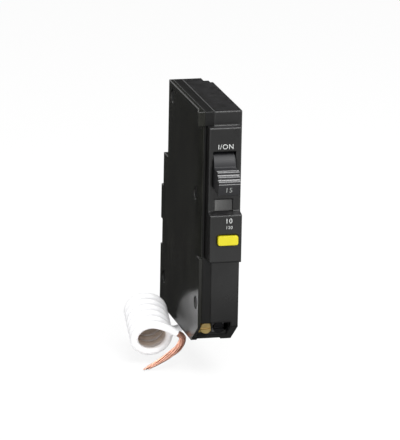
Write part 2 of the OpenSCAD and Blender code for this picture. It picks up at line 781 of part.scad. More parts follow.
module moving_contact() color("#d8d8d8") {
    translate(place([arm_x, arm_pivot[0], arm_pivot[1]])) rotate([-arm_swing, 0, 0])
        translate(-place([0, arm_pivot_on[0], arm_pivot_on[1]]))
        rod_y(0, contact_z, contact_face, contact_face + contact_t, contact_dia);
}
module fixed_contact() color("#d8d8d8") {
    rod_y(arm_x, contact_z, fixed_d, fixed_d + contact_t, contact_dia);
}
module jaw_leaf(side) {
    pinch_d = jaw_mouth_d + jaw_pinch_d;
    half = [[jaw_gap / 2, jaw_bridge_d], [jaw_pinch, pinch_d], [jaw_flare, jaw_mouth_d],
        [jaw_flare + jaw_t, jaw_mouth_d], [jaw_pinch + jaw_t, pinch_d], [jaw_outer, jaw_bridge_d],
        [jaw_outer, fixed_d], [0, fixed_d], [0, jaw_bridge_d]];
    polygon([for (p = half) [arm_x + side * p[0], p[1]]]);
}
module line_jaw() color("#c0c4c8") {
    plan(jaw_z, jaw_z + jaw_h) {
        jaw_leaf(1);
        jaw_leaf(-1);
    }
    block(arm_x - jaw_outer, arm_x + jaw_outer, jaw_bridge_d, fixed_d,
        contact_z - contact_dia / 2 - jaw_foot, jaw_z + weld);
}
module jaw_spring() color("#8f9398") {
    plan(jaw_spring_z, jaw_spring_z + jaw_spring_h) difference() {
        translate([arm_x - clip_half - jaw_spring_t, jaw_mouth_d + jaw_clip_d])
            square([2 * (clip_half + jaw_spring_t), fixed_d + gap + jaw_spring_t - jaw_mouth_d - jaw_clip_d]);
        translate([arm_x - clip_half, 0]) square([2 * clip_half, fixed_d + gap]);
    }
}

// Trip lever, armature and bimetal

module trip_lever() color("#a7abb0") difference() {
    union() {
        slab(lever_x, lever_x + lever_t) {
            bar(lever_pivot, lever_tip, lever_width);
            translate(lever_pivot) circle(d = lever_pin_dia + 2 * boss_wall);
        }
        rod_x(spring_x - hook_dia / 2, lever_x + weld, lever_hook, hook_dia);
    }
    rod_x(lever_x - past, lever_x + lever_t + past, lever_pivot, lever_pin_dia + 2 * pin_gap);
}
module trip_lever_pin() color("silver") {
    rod_x(lever_x - lever_pin_out, floor_x + pin_seat - pin_air, lever_pivot, lever_pin_dia);
}
module toggle_spring() color("#b8bcc0") {
    last = toggle_loops * spring_steps;
    turns = [for (i = [0:last])
        let (p = toggle_bottom + (toggle_top - toggle_bottom) * i / last, a = i * 360 / spring_steps)
        place([spring_x + toggle_r * cos(a), p[0] + toggle_r * sin(a), p[1]])];
    tube(turns, toggle_wire, coil_sides, [0, 0, 1]);
}
module armature() color("#9a9da1") {
    mid = armature_d + armature_t / 2;
    slab(yoke_x0, yoke_x1)
        bar([mid, armature_z + armature_t / 2], [mid, armature_z + armature_h - armature_t / 2], armature_t);
}
module magnet_yoke() color("#85888c") difference() {
    union() {
        plan(yoke_z, yoke_z + yoke_h) difference() {
            translate([yoke_x0, yoke_d]) square([yoke_x1 - yoke_x0, yoke_reach]);
            translate([yoke_x0 + yoke_t, yoke_d - past]) square([yoke_x1 - yoke_x0 - 2 * yoke_t, yoke_reach]);
        }
        for (x = [yoke_x0, yoke_x1 - yoke_t])
            block(x, x + yoke_t, armature_d + armature_t + gap, yoke_d + 2 * yoke_t,
                yoke_z + yoke_h - weld, armature_z + armature_h);
    }
    rod_y((yoke_x0 + yoke_x1) / 2, yoke_z + yoke_h / 2, yoke_d + yoke_reach - 2 * yoke_t,
        yoke_d + yoke_reach + past, calibration_dia);
}
module bimetal() color("#b5a06a") {
    block(yoke_x0 + yoke_t + gap, yoke_x1 - yoke_t - gap, bimetal_d, bimetal_d + bimetal_t,
        foot_z, foot_z + bimetal_h);
}
module calibration_screw() color("#c9a24b") {
    rod_y((yoke_x0 + yoke_x1) / 2, yoke_z + yoke_h / 2, bimetal_d + bimetal_t + gap,
        yoke_d + yoke_reach + calibration_out, calibration_dia - 4 * weld);
}
module flexible_braid() color("#b06a3c") {
    top = foot_z + bimetal_h;
    x = arm_x + arm_t / 2 + gap + braid_dia / 2;
    root = bimetal_d + bimetal_t / 2;
    bend = [[0, 0], [0, 1.8], [-1.4, 3.4], [-3.2, 3.6], [-4.8, 2.4], [-5.6, 0.6]];
    tube([for (p = bend) place([x, root + p[0], top + p[1]])], braid_dia, tube_sides, [1, 0, 0]);
}

// Electronics

module circuit_board() color("#2f6b3a") {
    block(board_x, board_face, board_d0, board_d1, board_z0, board_z1);
}
module control_chip() color("#1a1a1a") {
    block(board_face, board_face + chip_size[0], chip_corner[0], chip_corner[0] + chip_size[1],
        chip_corner[1], chip_corner[1] + chip_size[2]);
}
module capacitors() color("#2b3a6b") for (d = capacitor_depths) {
    rod_x(board_face, board_face + capacitor_len, [d, capacitor_z], capacitor_dia);
}
module resistors() color("#c9b48a") for (i = [0:resistor_count - 1]) {
    rod_y(board_face + resistor_dia / 2, resistor_start[1] + resistor_pitch * i,
        resistor_start[0], resistor_start[0] + resistor_len, resistor_dia);
}
module surge_disc() color("#2d4f9e") {
    rod_x(board_face, board_face + surge_t, surge_place, surge_dia);
}
module core(z0) {
    difference() {
        rod_z(0, core_d, z0, z0 + core_h, core_dia);
        rod_z(0, core_d, z0 - past, z0 + core_h + past, core_bore);
    }
}
module ground_core() color("#4a4a50") core(core_z);
module sense_core() color("#54545c") core(core_z + core_h + gap);
module solenoid_frame() color("#8d9196") difference() {
    union() {
        for (d = [solenoid_d0, solenoid_d1 - plate_t])
            block(solenoid_x - plate_half, plate_x, d, d + plate_t, plate_z0, plate_z1);
        block(plate_x - plate_t, plate_x, solenoid_d0, solenoid_d1, plate_z0, plate_z1);
    }
    rod_y(solenoid_x, solenoid_z, solenoid_d1 - plate_t - past, solenoid_d1 + past, plunger_dia + 2 * gap);
}
module solenoid_bobbin() color("#e8e4da") difference() {
    union() {
        rod_y(solenoid_x, solenoid_z, solenoid_d0 + plate_t, solenoid_d1 - plate_t, spool_dia);
        for (d = [solenoid_d0 + plate_t, solenoid_d1 - plate_t - bobbin_t])
            rod_y(solenoid_x, solenoid_z, d, d + bobbin_t, bobbin_dia);
    }
    rod_y(solenoid_x, solenoid_z, solenoid_d0 + plate_t + bobbin_t, solenoid_d1, plunger_dia + 2 * pin_gap);
}
module solenoid_winding() color("#a8562a") difference() {
    rod_y(solenoid_x, solenoid_z, solenoid_d0 + plate_t + bobbin_t, solenoid_d1 - plate_t - bobbin_t,
        winding_dia);
    rod_y(solenoid_x, solenoid_z, solenoid_d0, solenoid_d1, spool_dia);
}
module plunger() color("#b4b8bc") {
    rod_y(solenoid_x, solenoid_z, plunger_start, plunger_end, plunger_dia);
    rod_y(solenoid_x, solenoid_z, plunger_head_d, plunger_end, plunger_dia + 2);
}
module plunger_spring() color("silver") {
    coil_spring(solenoid_x, solenoid_z, solenoid_d1, plunger_head_d, spool_dia,
        plunger_spring_wire, plunger_spring_loops);
}

// Terminals and conductors

module wire_lug(x) difference() {
    block(x - lug_w / 2, x + lug_w / 2, lug_d, lug_d + lug_len, lug_z, lug_z + lug_h);
    rod_z(x, wire_d, lug_z - past, lug_z + lug_h - lug_wall, wire_bore);
    rod_y(x, screw_z, wire_d, recess_d + past, screw_dia + 2 * pin_gap);
}
module terminal_screw(x) difference() {
    union() {
        rod_y(x, screw_z, wire_d + wire_bore / 2 + screw_tip, recess_d + gap, screw_dia);
        rod_y(x, screw_z, recess_d, recess_d + screw_head_t, screw_head_dia);
    }
    block(x - screw_head_dia, x + screw_head_dia, recess_d + screw_head_t - screw_slot_d,
        recess_d + screw_head_t + past, screw_z - screw_slot_w / 2, screw_z + screw_slot_w / 2);
}
module load_lug() color("#c9a24b") wire_lug(lug_mid - lug_pitch / 2);
module load_screw() color("#d8ab55") terminal_screw(lug_mid - lug_pitch / 2);
module neutral_lug() color("#b9bcc0") wire_lug(lug_mid + lug_pitch / 2);
module neutral_screw() color("#6d6f72") terminal_screw(lug_mid + lug_pitch / 2);
module load_strap() color("#b87333") {
    block(-strap_off - strap_t, -strap_off, strap_d, strap_d + strap_w,
        lug_z + lug_h, foot_z - strap_foot_t / 2);
    block(-strap_off - strap_t, yoke_x1, strap_d, strap_d + strap_w, foot_z - strap_foot_t, foot_z);
}
module neutral_strap() color("#b87333") {
    strap_x1 = strap_off + strap_t;
    landing_d = board_d1 - 2 * strap_t;
    block(strap_off, strap_x1, strap_d, strap_d + strap_w, lug_z + lug_h, neutral_top);
    block(strap_off, strap_x1, landing_d, strap_d + strap_t, neutral_top - strap_t, neutral_top);
    block(board_face, strap_x1, landing_d, board_d1, neutral_top - strap_t, neutral_top);
}
module strain_relief() color("#1a1a1a") difference() {
    union() {
        rod_z(lead_x, lead_d, -relief_out, wall + relief_in, relief_neck - 2 * pin_gap);
        rod_z(lead_x, lead_d, -relief_out, -pin_gap, relief_neck + relief_lip);
        rod_z(lead_x, lead_d, wall + pin_gap, wall + relief_in, relief_neck + relief_lip);
    }
    rod_z(lead_x, lead_d, -relief_out - past, wall + relief_in + past, wire_dia);
}

// Pigtail

coil_axis = unit(place(coil_front) - place(coil_rear));
coil_side = unit(cross(coil_axis, [0, 0, 1]));
coil_up = cross(coil_side, coil_axis);
coil_len = norm(place(coil_front) - place(coil_rear));
// A place on the winding: whole turn in degrees, radius and share of the length
function on_coil(turn, r, share) = place(coil_rear) + coil_len * share * coil_axis
    - r * cos(turn) * coil_up + r * sin(turn) * coil_side * coil_hand;
coil_hand = coil_side[0] > 0 ? -1 : 1;
coil_turn = 360 * coil_loops;
coil_loop_points = [for (i = [0:coil_loops * coil_steps])
    on_coil(i * 360 / coil_steps, coil_r, i / (coil_loops * coil_steps))];
tail_points = [for (i = [1:tail_steps]) on_coil(coil_turn + i * tail_angle / tail_steps,
    coil_r + tail_grow * pow(i / tail_steps, 2), 1 + tail_rise * i / tail_steps)];
coil_start = coil_loop_points[0] + wire_dia * unit(coil_loop_points[0] - coil_loop_points[1]);
tail_end = tail_points[tail_steps - 1];
coil_end = tail_end + wire_dia * unit(tail_end - tail_points[tail_steps - 2]);
coil_path = concat([coil_start], coil_loop_points, tail_points, [coil_end]);
lead_path = concat([for (p = lead_route) place(p)],
    [coil_start + wire_dia * unit(coil_start - coil_loop_points[0]), coil_start]);
copper_path = concat([coil_end, coil_end + copper_dia * unit(coil_end - tail_end)],
    [for (p = copper_route) place(p)]);

// Least distance between windings half a loop or more apart, less the wire
coil_least_gap = min([for (i = [0:len(coil_path) - 1], j = [0:len(coil_path) - 1])
    if (j - i >= coil_steps / 2) norm(coil_path[i] - coil_path[j])]) - wire_dia;
echo(coil_least_gap = coil_least_gap);
echo(coil_start = coil_start, coil_end = coil_end);

module pigtail_lead() color("#f4f4f2") tube(lead_path, wire_dia, tube_sides, [0, 1, 0]);
module pigtail_coil() color("#f4f4f2") tube(coil_path, wire_dia, coil_sides, coil_axis);
module pigtail_bare_end() color("#c86e50") tube(copper_path, copper_dia, tube_sides, [0, 1, 0]);

base_case();
mid_frame();
side_cover();
case_rivets();
trip_window();
handle();
handle_pin();
arm_pin();
contact_arm();
moving_contact();
fixed_contact();
line_jaw();
jaw_spring();
trip_lever();
trip_lever_pin();
toggle_spring();
armature();
magnet_yoke();
bimetal();
calibration_screw();
flexible_braid();
trip_flag();
test_button();
test_button_spring();
test_contact_leaf();
circuit_board();
control_chip();
capacitors();
resistors();
surge_disc();
sense_core();
ground_core();
solenoid_frame();
solenoid_bobbin();
solenoid_winding();
plunger();
plunger_spring();
load_lug();
load_screw();
neutral_lug();
neutral_screw();
load_strap();
neutral_strap();
strain_relief();
pigtail_lead();
pigtail_coil();
pigtail_bare_end();
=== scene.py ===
"""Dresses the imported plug-on ground-fault breaker: finishes, rounded edges, printed signs and pigtail."""
import json
import logging
import math
from abc import ABC, abstractmethod
from dataclasses import dataclass, field
from enum import Enum
from typing import ClassVar, Mapping, NamedTuple, Optional, Sequence, Union

import bpy
from mathutils import Matrix, Vector


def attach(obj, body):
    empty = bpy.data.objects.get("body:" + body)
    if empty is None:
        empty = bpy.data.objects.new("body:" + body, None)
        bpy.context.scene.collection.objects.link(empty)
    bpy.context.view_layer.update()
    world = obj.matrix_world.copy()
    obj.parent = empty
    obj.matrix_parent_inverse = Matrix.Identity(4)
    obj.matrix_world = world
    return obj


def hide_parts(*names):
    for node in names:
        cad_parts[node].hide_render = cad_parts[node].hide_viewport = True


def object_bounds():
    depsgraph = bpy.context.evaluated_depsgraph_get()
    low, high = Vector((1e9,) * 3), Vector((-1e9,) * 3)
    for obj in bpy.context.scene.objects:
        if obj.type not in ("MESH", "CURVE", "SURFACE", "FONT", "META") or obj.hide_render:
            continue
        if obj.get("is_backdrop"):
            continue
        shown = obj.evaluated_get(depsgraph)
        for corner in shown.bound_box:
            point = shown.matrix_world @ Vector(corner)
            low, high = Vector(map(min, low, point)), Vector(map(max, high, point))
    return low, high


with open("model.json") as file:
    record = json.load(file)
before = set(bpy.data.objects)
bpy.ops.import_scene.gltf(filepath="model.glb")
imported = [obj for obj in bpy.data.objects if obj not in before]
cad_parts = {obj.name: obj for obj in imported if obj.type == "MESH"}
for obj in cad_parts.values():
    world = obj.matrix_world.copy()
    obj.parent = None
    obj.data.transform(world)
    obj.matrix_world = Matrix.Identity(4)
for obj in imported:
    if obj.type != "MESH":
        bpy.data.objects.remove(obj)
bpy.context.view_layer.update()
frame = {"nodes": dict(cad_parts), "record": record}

LOG = logging.getLogger("breaker")
RGB = tuple[float, float, float]
Point = tuple[float, float, float]
Span = tuple[float, float]
Value = Union["Wire", float, int, Sequence[float]]

MM = 0.001
ORIGIN_HEIGHT = 0.04675  # the frame's origin above the load end
IMAGE_SIZE = (400, 440)
WHITE = (1.0, 1.0, 1.0, 1.0)
EVEN: Point = (1.0, 1.0, 1.0)
SOFT_EDGE_SAMPLES = 6
WELD_DISTANCE = 2e-6
FLAT_ANGLE = 0.4
SHARP_ANGLE = 32.0
FACE_WEIGHT = 100


class Body(Enum):
    """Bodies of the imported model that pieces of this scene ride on."""

    CASE = "case"
    HANDLE = "handle"


class Axis(Enum):
    """Axes of the shared frame: across, into the panel and up."""

    X = 0
    Y = 1
    Z = 2


@dataclass(frozen=True)
class Noise:
    """A noise pattern: steps per metre, levels of detail, their strength, and its scale along the axes."""

    scale: float
    detail: float = 3.0
    roughness: float = 0.5
    stretch: Point = EVEN


class Relief(NamedTuple):
    """How strongly a height shows, and how deep it is in metres."""

    strength: float
    depth: float


def place(point: Point) -> Vector:
    """Moves a place of the case into the shared frame.

    Args:
        point: x, depth from the rear rest face and height from the load end, in metres.

    Returns:
        The same place in the shared frame.
    """
    return Vector((point[0], -point[1], point[2] - ORIGIN_HEIGHT))


class Wire:
    """A node's output socket that takes part in Python expressions."""

    def __init__(self, sheet: "Sheet", socket: bpy.types.NodeSocket) -> None:
        """Keeps the sheet and the socket."""
        self.sheet = sheet
        self.socket = socket

    def math(self, operation: str, a: Value, b: Value) -> "Wire":
        """Adds one Math node.

        Args:
            operation: Blender's name of the operation.
            a: first value or wire.
            b: second value or wire.

        Returns:
            The node's output.
        """
        return self.sheet.node("ShaderNodeMath", {"operation": operation}, {0: a, 1: b})

    def __add__(self, other: Value) -> "Wire":
        """Adds."""
        return self.math("ADD", self, other)

    __radd__ = __add__

    def __mul__(self, other: Value) -> "Wire":
        """Multiplies."""
        return self.math("MULTIPLY", self, other)

    __rmul__ = __mul__

    def __sub__(self, other: Value) -> "Wire":
        """Subtracts."""
        return self.math("SUBTRACT", self, other)

    def __rsub__(self, other: Value) -> "Wire":
        """Subtracts from a value."""
        return self.math("SUBTRACT", other, self)

    def at_least(self, other: Value) -> "Wire":
        """Keeps the larger of two values."""
        return self.math("MAXIMUM", self, other)

    def at_most(self, other: Value) -> "Wire":
        """Keeps the smaller of two values."""
        return self.math("MINIMUM", self, other)


class Sheet:
    """The node sheet of one material or of the world."""

    def __init__(self, tree: bpy.types.NodeTree) -> None:
        """Clears the tree and keeps it."""
        self.tree = tree
        tree.nodes.clear()

    def node(self, kind: str, settings: Optional[Mapping[str, object]] = None,
             inputs: Optional[Mapping[Union[str, int], Value]] = None, output: Union[str, int] = 0) -> Wire:
        """Adds a node of any type.

        Args:
            kind: the node's type.
            settings: its settings, set first.
            inputs: values or wires by the name or number of the socket.
            output: which output to give back.

        Returns:
            The chosen output, or the input of a node that ends the sheet.
        """
        made = self.tree.nodes.new(kind)
        for key, value in (settings or {}).items():
            setattr(made, key, value)
        for key, value in (inputs or {}).items():
            if isinstance(value, Wire):
                self.tree.links.new(value.socket, made.inputs[key])
            else:
                made.inputs[key].default_value = value
        sockets = made.outputs if made.outputs else made.inputs
        return Wire(self, sockets[output])

    def place(self) -> Wire:
        """Gives the place on the piece, in metres of the shared frame."""
        return self.node("ShaderNodeTexCoord", output="Object")

    def stretched(self, at: Wire, scale: Point) -> Wire:
        """Scales a place along the axes."""
        return self.node("ShaderNodeMapping", {"vector_type": "POINT"}, {"Vector": at, "Scale": scale})

    def noise(self, at: Wire, pattern: Noise) -> Wire:
        """Gives a noise between 0 and 1 around 0.5."""
        spot = at if pattern.stretch == EVEN else self.stretched(at, pattern.stretch)
        return self.node("ShaderNodeTexNoise", None,
                         {"Vector": spot, "Scale": pattern.scale, "Detail": pattern.detail,
                          "Roughness": pattern.roughness})

    def ramp(self, factor: Wire, span: Span) -> Wire:
        """Turns a range of a value into 0 to 1."""
        return self.node("ShaderNodeMapRange", {"clamp": True},
                         {"Value": factor, "From Min": span[0], "From Max": span[1]})

    def blend(self, factor: Value, a: Union[Wire, RGB], b: Union[Wire, RGB]) -> Wire:
        """Mixes two colours, through the sockets that the Mix node keeps for colours."""
        full = [value if isinstance(value, Wire) else (*value, 1.0) for value in (a, b)]
        return self.node("ShaderNodeMix", {"data_type": "RGBA"}, {0: factor, 6: full[0], 7: full[1]}, 2)

    def vector(self, operation: str, a: Value, b: Optional[Value] = None, output: int = 0) -> Wire:
        """Adds one Vector Math node.

        Args:
            operation: Blender's name of the operation.
            a: first vector or wire.
            b: second vector or wire, where the operation takes one.
            output: 0 for a vector, 1 for a number.

        Returns:
            The chosen output.
        """
        inputs = {0: a} if b is None else {0: a, 1: b}
        return self.node("ShaderNodeVectorMath", {"operation": operation}, inputs, output)

    def part(self, vector: Wire, axis: Axis) -> Wire:
        """Gives one part of a vector."""
        return self.node("ShaderNodeSeparateXYZ", None, {0: vector}, axis.value)

    def facing(self, axis: Axis) -> Wire:
        """Gives one part of the surface's direction."""
        return self.part(self.node("ShaderNodeNewGeometry", output="Normal"), axis)

    def bump(self, height: Wire, relief: Relief, below: Optional[Wire] = None) -> Wire:
        """Turns a height into a surface direction.

        Args:
            height: the height, 0 to 1.
            relief: how it shows.
            below: surface direction that it lies on, if any.

        Returns:
            The new surface direction.
        """
        inputs: dict[Union[str, int], Value] = {
            "Height": height, "Strength": relief.strength, "Distance": relief.depth}
        if below is not None:
            inputs["Normal"] = below
        return self.node("ShaderNodeBump", None, inputs)

    def soft_edge(self, radius: float) -> Wire:
        """Gives the surface's direction with edges eased over a radius."""
        return self.node("ShaderNodeBevel", {"samples": SOFT_EDGE_SAMPLES}, {"Radius": radius})

    def glow(self, strength: float) -> Wire:
        """Gives a white shader that only glows."""
        return self.node("ShaderNodeEmission", None, {"Color": WHITE, "Strength": strength})

    def show(self, shader: Wire, end: str = "ShaderNodeOutputMaterial") -> None:
        """Ends the sheet in a shader.

        Args:
            shader: what the surface or the world shows.
            end: type of the node that ends the sheet.
        """
        self.node(end, None, {"Surface": shader})

    def surface(self, **inputs: Value) -> None:
        """Ends the sheet in a Principled surface.

        Args:
            inputs: its sockets, with _ for a space.
        """
        named = {key.replace("_", " "): value for key, value in inputs.items()}
        self.show(self.node("ShaderNodeBsdfPrincipled", None, named))


def new_material(name: str) -> tuple[bpy.types.Material, Sheet]:
    """Makes a material.

    Args:
        name: its name.

    Returns:
        The material and its empty sheet.
    """
    made = bpy.data.materials.new(name)
    made.use_nodes = True
    return made, Sheet(made.node_tree)


def add_object(name: str, data: bpy.types.ID) -> bpy.types.Object:
    """Puts data into the scene.

    Args:
        name: name of the object.
        data: its mesh, curve, light or camera.

    Returns:
        The new object.
    """
    made = bpy.data.objects.new(name, data)
    bpy.context.scene.collection.objects.link(made)
    return made


def flat_mesh(name: str, size: Span, height: float, material: bpy.types.Material) -> bpy.types.Mesh:
    """Makes a level rectangle around the upright axis.

    Args:
        name: name of the mesh.
        size: its width and depth.
        height: where it lies.
        material: what it wears.

    Returns:
        The mesh.
    """
    w, d = size[0] / 2, size[1] / 2
    mesh = bpy.data.meshes.new(name)
    mesh.from_pydata([(-w, -d, height), (w, -d, height), (w, d, height), (-w, d, height)], [], [(0, 1, 2, 3)])
    mesh.materials.append(material)
    return mesh


@dataclass(frozen=True)
class Finish(ABC):
    """A finish that any piece can wear."""

    name: str

    def material(self) -> bpy.types.Material:
        """Makes the material once, apart from the frame's plain slot of that name, and gives it back."""
        title = f"{self.name}_finish"
        known = bpy.data.materials.get(title)
        if known:
            return known
        made, sheet = new_material(title)
        self.paint(sheet)
        return made

    @abstractmethod
    def paint(self, sheet: Sheet) -> None:
        """Fills the node sheet.

        Args:
            sheet: the sheet of the new material.
        """


@dataclass(frozen=True)
class Moulded(Finish):
    """Moulded plastic with spark-eroded grain, faint flow marks, and dust on upward faces."""

    color: RGB
    flow: RGB
    roughness: float = 0.35
    grain_depth: float = 0.000012
    dust: float = 0.0
    dust_color: RGB = (0.2, 0.2, 0.2)
    specular: float = 0.5
    edge: float = 0.0003

    FLOW: ClassVar[Noise] = Noise(160.0, 4.0, 0.6, (1.0, 1.0, 0.35))
    FLOW_SPAN: ClassVar[Span] = (0.35, 0.7)
    SMEAR: ClassVar[Noise] = Noise(55.0, 5.0, 0.65)
    SMEAR_ROUGHNESS: ClassVar[float] = 0.16
    GRAIN: ClassVar[Noise] = Noise(5200.0, 2.0, 0.5)
    GRAIN_ROUGHNESS: ClassVar[float] = 0.05
    GRAIN_STRENGTH: ClassVar[float] = 0.45
    WAVE: ClassVar[Noise] = Noise(240.0, 1.0)
    WAVE_RELIEF: ClassVar[Relief] = Relief(0.12, 0.00006)
    UPWARD_SPAN: ClassVar[Span] = (0.55, 1.0)
    WIPED: ClassVar[Noise] = Noise(700.0, 6.0, 0.7, (0.25, 1.0, 1.0))
    WIPED_SPAN: ClassVar[Span] = (0.44, 0.76)
    DUST_ROUGHNESS: ClassVar[float] = 0.3
    SPECK: ClassVar[Noise] = Noise(2600.0, 1.0)
    SPECK_SPAN: ClassVar[Span] = (0.72, 0.76)
    SPECK_SHARE: ClassVar[float] = 0.35

    def paint(self, sheet: Sheet) -> None:
        """Fills the node sheet with eased edges, grain, flow marks, smears and dust."""
        at = sheet.place()
        smear = sheet.noise(at, self.SMEAR)
        grain = sheet.noise(at, self.GRAIN)
        color = sheet.blend(sheet.ramp(sheet.noise(at, self.FLOW), self.FLOW_SPAN), self.color, self.flow)
        upward = sheet.ramp(sheet.facing(Axis.Z), self.UPWARD_SPAN)
        settled = upward * sheet.ramp(sheet.noise(at, self.WIPED), self.WIPED_SPAN) * self.dust
        speck = sheet.ramp(sheet.noise(at, self.SPECK), self.SPECK_SPAN) * self.dust
        rough = (self.gloss(sheet, at) + (smear - 0.5) * self.SMEAR_ROUGHNESS
                 + (grain - 0.5) * self.GRAIN_ROUGHNESS + settled * self.DUST_ROUGHNESS)
        skin = sheet.bump(sheet.noise(at, self.WAVE), self.WAVE_RELIEF, sheet.soft_edge(self.edge))
        sheet.surface(Base_Color=sheet.blend(settled + speck * self.SPECK_SHARE, color, self.dust_color),
                      Roughness=rough, Specular_IOR_Level=self.specular,
                      Normal=sheet.bump(grain, Relief(self.GRAIN_STRENGTH, self.grain_depth), skin),
                      **self.polish(sheet, at))

    def gloss(self, sheet: Sheet, at: Wire) -> Value:
        """Gives the roughness before smears and grain.

        Args:
            sheet: the sheet of the material.
            at: place on the piece.

        Returns:
            A value, or a wire where it differs over the piece.
        """
        return self.roughness

    def polish(self, sheet: Sheet, at: Wire) -> dict[str, Value]:
        """Gives the sockets of a polish over the plastic; plain plastic has none.

        Args:
            sheet: the sheet of the material.
            at: place on the piece.

        Returns:
            Values or wires by socket name.
        """
        return {}


@dataclass(frozen=True)
class Thumbed(Moulded):
    """Moulded plastic that thumbs have polished in front of a depth."""

    dull: float = 0.5
    polished_from: float = -0.0765
    polished_to: float = -0.0790
    polish_roughness: float = 0.3

    def behind(self, sheet: Sheet, at: Wire) -> Wire:
        """Gives 0 on the thumbed end and 1 behind it."""
        return sheet.ramp(sheet.part(at, Axis.Y), (self.polished_to, self.polished_from))

    def gloss(self, sheet: Sheet, at: Wire) -> Value:
        """Gives the roughness, duller behind the thumbed end."""
        return self.roughness + self.behind(sheet, at) * (self.dull - self.roughness)

    def polish(self, sheet: Sheet, at: Wire) -> dict[str, Value]:
        """Gives the thumbed end's polish."""
        return {"Coat_Weight": 1.0 - self.behind(sheet, at), "Coat_Roughness": self.polish_roughness}


@dataclass(frozen=True)
class Metal(Finish):
    """Drawn or stamped metal with brushing along one axis, tarnish and fine scratches."""

    color: RGB
    tarnish: RGB
    roughness: float = 0.3
    brushing: Point = (0.06, 1.0, 1.0)
    tarnish_share: float = 0.5

    LINES: ClassVar[Noise] = Noise(7000.0, 3.0, 0.6)
    LINES_ROUGHNESS: ClassVar[float] = 0.22
    LINES_RELIEF: ClassVar[Relief] = Relief(0.25, 0.00001)
    SPOTS: ClassVar[Noise] = Noise(420.0, 6.0, 0.65)
    SPOTS_SPAN: ClassVar[Span] = (0.42, 0.72)
    SPOTS_ROUGHNESS: ClassVar[float] = 0.18

    def paint(self, sheet: Sheet) -> None:
        """Fills the node sheet with brushing and tarnish."""
        at = sheet.place()
        lines = sheet.noise(sheet.stretched(at, self.brushing), self.LINES)
        spots = sheet.ramp(sheet.noise(at, self.SPOTS), self.SPOTS_SPAN)
        color = sheet.blend(spots * self.tarnish_share, self.color, self.tarnish)
        rough = self.roughness + spots * self.SPOTS_ROUGHNESS + (lines - 0.5) * self.LINES_ROUGHNESS
        sheet.surface(Base_Color=color, Metallic=1.0, Roughness=rough,
                      Normal=sheet.bump(lines, self.LINES_RELIEF))


@dataclass(frozen=True)
class Insulation(Finish):
    """Extruded vinyl with draw marks, a satin skin and a little handling grime."""

    color: RGB
    grime: RGB
    roughness: float = 0.42

    MARKS: ClassVar[Noise] = Noise(1500.0, 4.0, 0.6)
    MARKS_ROUGHNESS: ClassVar[float] = 0.12
    MARKS_RELIEF: ClassVar[Relief] = Relief(0.2, 0.00003)
    TOUCHED: ClassVar[Noise] = Noise(130.0, 5.0, 0.7)
    TOUCHED_SPAN: ClassVar[Span] = (0.52, 0.8)
    TOUCHED_ROUGHNESS: ClassVar[float] = 0.1
    GRIME_SHARE: ClassVar[float] = 0.35

    def paint(self, sheet: Sheet) -> None:
        """Fills the node sheet with draw marks and grime."""
        at = sheet.place()
        marks = sheet.noise(at, self.MARKS)
        touched = sheet.ramp(sheet.noise(at, self.TOUCHED), self.TOUCHED_SPAN)
        rough = self.roughness + (marks - 0.5) * self.MARKS_ROUGHNESS + touched * self.TOUCHED_ROUGHNESS
        sheet.surface(Base_Color=self.skin(sheet, at, touched), Roughness=rough,
                      Normal=sheet.bump(marks, self.MARKS_RELIEF))

    def skin(self, sheet: Sheet, at: Wire, touched: Wire) -> Wire:
        """Gives the colour with its grime.

        Args:
            sheet: the sheet of the material.
            at: place on the piece.
            touched: where it was handled, 0 to 1.

        Returns:
            The colour.
        """
        return sheet.blend(touched * self.GRIME_SHARE, self.color, self.grime)


@dataclass(frozen=True)
class Wound(Insulation):
    """Extruded vinyl that is wound round an axis, with painted shade within the winding."""

    start: Point = (0.0, 0.0, 0.0)
    axis: Point = (0.0, -1.0, 0.0)
    radius: float = 0.008
    run: float = 0.02
    # colour of the painted shade within the winding
    inside_shade: RGB = (0.42, 0.335, 0.275)
    depth: float = 0.0011

    def skin(self, sheet: Sheet, at: Wire, touched: Wire) -> Wire:
        """Gives the colour: grime outside, painted shade within the winding."""
        reach = sheet.vector("SUBTRACT", at, self.start)
        along = sheet.vector("DOT_PRODUCT", reach, self.axis, 1)
        foot = sheet.node("ShaderNodeVectorMath", {"operation": "SCALE"}, {0: self.axis, "Scale": along})
        away = sheet.vector("LENGTH", sheet.vector("SUBTRACT", reach, foot), None, 1)
        # painted shade: darker within the winding's radius, fading out towards its open front end
        within = sheet.ramp(away, (self.radius, self.radius - self.depth))
        deep = sheet.ramp(along, (self.run - self.depth, self.run - 3 * self.depth))
        return sheet.blend(within * deep, super().skin(sheet, at, touched), self.inside_shade)


@dataclass(frozen=True)
class Lens(Finish):
    """A smoke-grey indicator lens, paler towards its left end, with moulding streaks."""

    color: RGB
    pale: RGB
    left: float
    right: float

    STREAK: ClassVar[Noise] = Noise(900.0, 3.0, 0.5, (1.0, 1.0, 0.2))
    STREAK_SHARE: ClassVar[float] = 0.35
    STREAK_ROUGHNESS: ClassVar[float] = 0.1
    STREAK_RELIEF: ClassVar[Relief] = Relief(0.1, 0.00002)
    ROUGHNESS: ClassVar[float] = 0.2

    def paint(self, sheet: Sheet) -> None:
        """Fills the node sheet with the lens's fade and streaks."""
        at = sheet.place()
        fade = sheet.ramp(sheet.part(at, Axis.X), (self.left, self.right))
        streak = sheet.noise(at, self.STREAK)
        share = (fade + (streak - 0.5) * self.STREAK_SHARE).at_least(0.0).at_most(1.0)
        sheet.surface(Base_Color=sheet.blend(share, self.pale, self.color),
                      Roughness=self.ROUGHNESS + streak * self.STREAK_ROUGHNESS,
                      Normal=sheet.bump(streak, self.STREAK_RELIEF))


